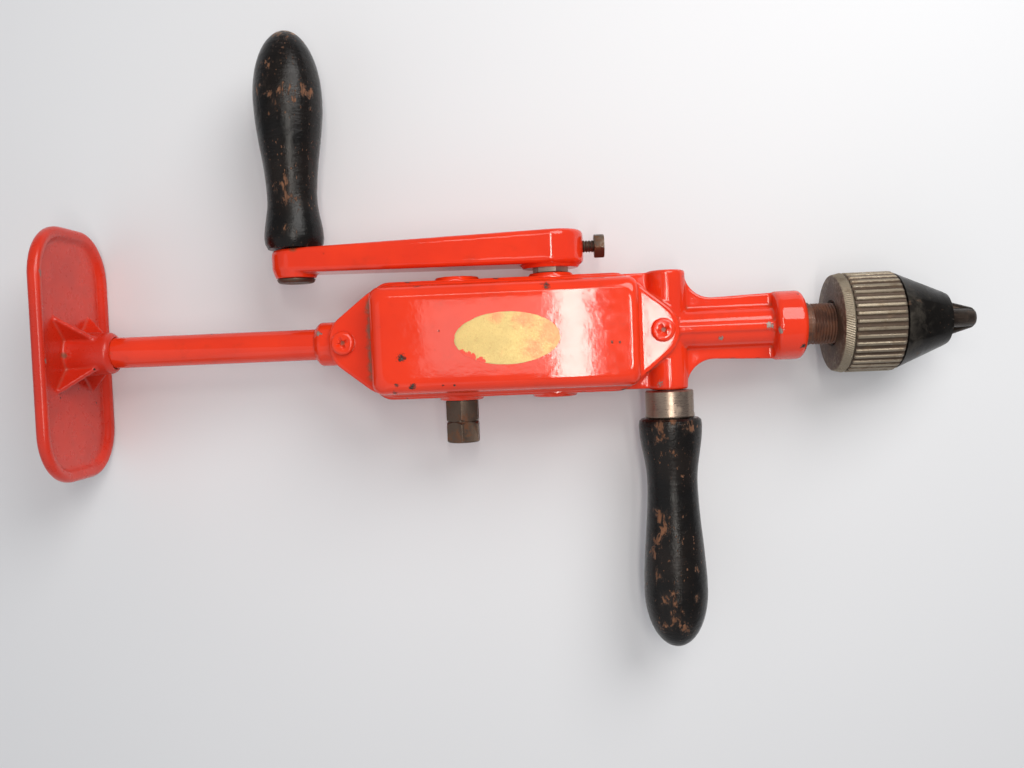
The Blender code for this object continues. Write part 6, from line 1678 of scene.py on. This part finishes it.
def dress_drill(skins):
    """Makes each shown piece, which rides on a body in place of the plain solids that it stands for."""
    enamel = skins["enamel"]
    hex_end = ARM_TOP - ARM_HEX_COVER
    stub_end = HEX_START + HEX_STUB
    crank_shaft = ("crank_shaft_turned", CRANK_LINE, 1, CRANK_HEX_TURN, hex_end, skins["nut"])
    countershaft = ("countershaft_turned", COUNTERSHAFT_LINE, -1, 0, stub_end, skins["rusty"], True)
    pieces = [
        (add_housing(enamel), "housing", "enamel", "gear_housing"),
        (add_cover(enamel), "housing", "enamel", "housing_cover"),
        (add_breast_plate(skins["dull_enamel_painted_shade"]), "housing", "enamel", "breast_plate"),
        (add_back_tube(enamel), "housing", "enamel", "back_tube"),
        *((add_cover_screw(name, enamel), "housing", "enamel", name) for name in SCREW_PLACES),
        (add_sticker(skins["sticker"]), "housing", "enamel"),
        (add_side_grip(skins["wood"]), "housing", "lacquered_wood", "side_handle_grip"),
        (add_ferrule(skins["bright"]), "housing", "bright_steel", "side_handle_ferrule"),
        (add_cross_shaft(*crank_shaft), "crank", "dark_steel", "crank_shaft"),
        (add_crank_arm(enamel), "crank", "enamel", "crank_arm"),
        (add_set_screw(skins["rusty"]), "crank", "dark_steel", "crank_set_screw"),
        (add_handle_axle(skins["rusty"]), "crank", "dark_steel", "handle_axle"),
        (add_crank_grip(skins["wood"]), "crank_handle", "lacquered_wood", "crank_handle_grip"),
        (add_cross_shaft(*countershaft), "countershaft", "dark_steel", "countershaft"),
        (add_spindle(skins["thread"]), "spindle", "dark_steel", "spindle"),
        (add_chuck_body(skins["knurl"]), "spindle", "knurled_steel", "chuck_body"),
        (add_chuck_sleeve(skins["knurl"]), "sleeve", "knurled_steel", "chuck_sleeve"),
        (add_chuck_nose(skins["oxide"]), "nose", "black_oxide", "chuck_nose"),
    ]
    for number, line in enumerate(JAW_LINES, 1):
        jaw = add_jaw(f"jaw_{number}_ground", line, skins["jaw"])
        pieces.append((jaw, f"jaw_{number}", "black_oxide", f"chuck_jaw_{number}"))
    for piece, body, slot, *nodes in pieces:
        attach(piece, body)
        if nodes:
            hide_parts(*nodes)


def dress_inner_nodes(skins):
    """Gives the gears, pins, bushes and other inner pieces their own materials."""
    for name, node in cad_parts.items():
        for word, skin in INNER_SKINS.items():
            if word in name:
                for place in node.material_slots:
                    place.material = skins[skin]


def add_camera():
    """The photograph's own viewpoint, nearly straight above the drill."""
    turn_x, turn_y, turn_z = CAMERA_TURNS
    to_camera = Matrix.Rotation(turn_z, 3, "Z") @ Matrix.Rotation(turn_y, 3, "Y")
    to_camera = to_camera @ Matrix.Rotation(turn_x, 3, "X")
    data = bpy.data.cameras.new("camera")
    data.sensor_width = SENSOR_WIDTH
    data.lens = FOCAL_PIXELS / IMAGE_WIDTH * SENSOR_WIDTH
    data.clip_start = CLIP_START
    camera = bpy.data.objects.new("camera", data)
    bpy.context.scene.collection.objects.link(camera)
    place = DRILL @ Vector(CAMERA_PLACE)
    camera.matrix_world = Matrix.Translation(place) @ to_camera.transposed().to_4x4()
    bpy.context.scene.camera = camera


def add_lamps():
    """Soft boxes, each so wide and so high, that look at a point."""
    for name, (shape, place, aim, sizes, power, colour) in LAMPS.items():
        data = bpy.data.lights.new(name, "AREA")
        data.shape = shape
        data.size, data.size_y = sizes
        data.energy = power
        data.color = colour
        lamp = bpy.data.objects.new(name, data)
        lamp.location = place
        lamp.rotation_euler = (Vector(aim) - Vector(place)).to_track_quat("-Z", "Y").to_euler()
        bpy.context.scene.collection.objects.link(lamp)


def add_world():
    """An even pale surround, for plain light from every side."""
    world = bpy.data.worlds.new("studio")
    world.use_nodes = True
    surround = world.node_tree.nodes["Background"]
    surround.inputs["Color"].default_value = (*SKY_TONE, 1)
    surround.inputs["Strength"].default_value = WORLD_STRENGTH
    bpy.context.scene.world = world


def add_floor():
    """A plain pale floor under the drill."""
    skin = Skin("floor_pale", Roughness=FLOOR_ROUGHNESS)
    skin.join(skin.shader.inputs["Base Color"], skin.mix(skin.noise(FLOOR_PATCH, 2), *FLOOR_TONES))
    mesh = bmesh.new()
    corners = rectangle(-FLOOR_REACH, FLOOR_REACH, FLOOR_REACH)
    mesh.faces.new([mesh.verts.new((x, y, 0)) for x, y in corners])
    floor = add_mesh("floor", mesh, Matrix.Identity(4), skin.material)


def main():
    skins = make_skins()
    bpy.context.scene.view_settings.view_transform = "Standard"
    add_world()
    add_camera()
    add_lamps()
    add_floor()
    dress_drill(skins)
    dress_inner_nodes(skins)


main()
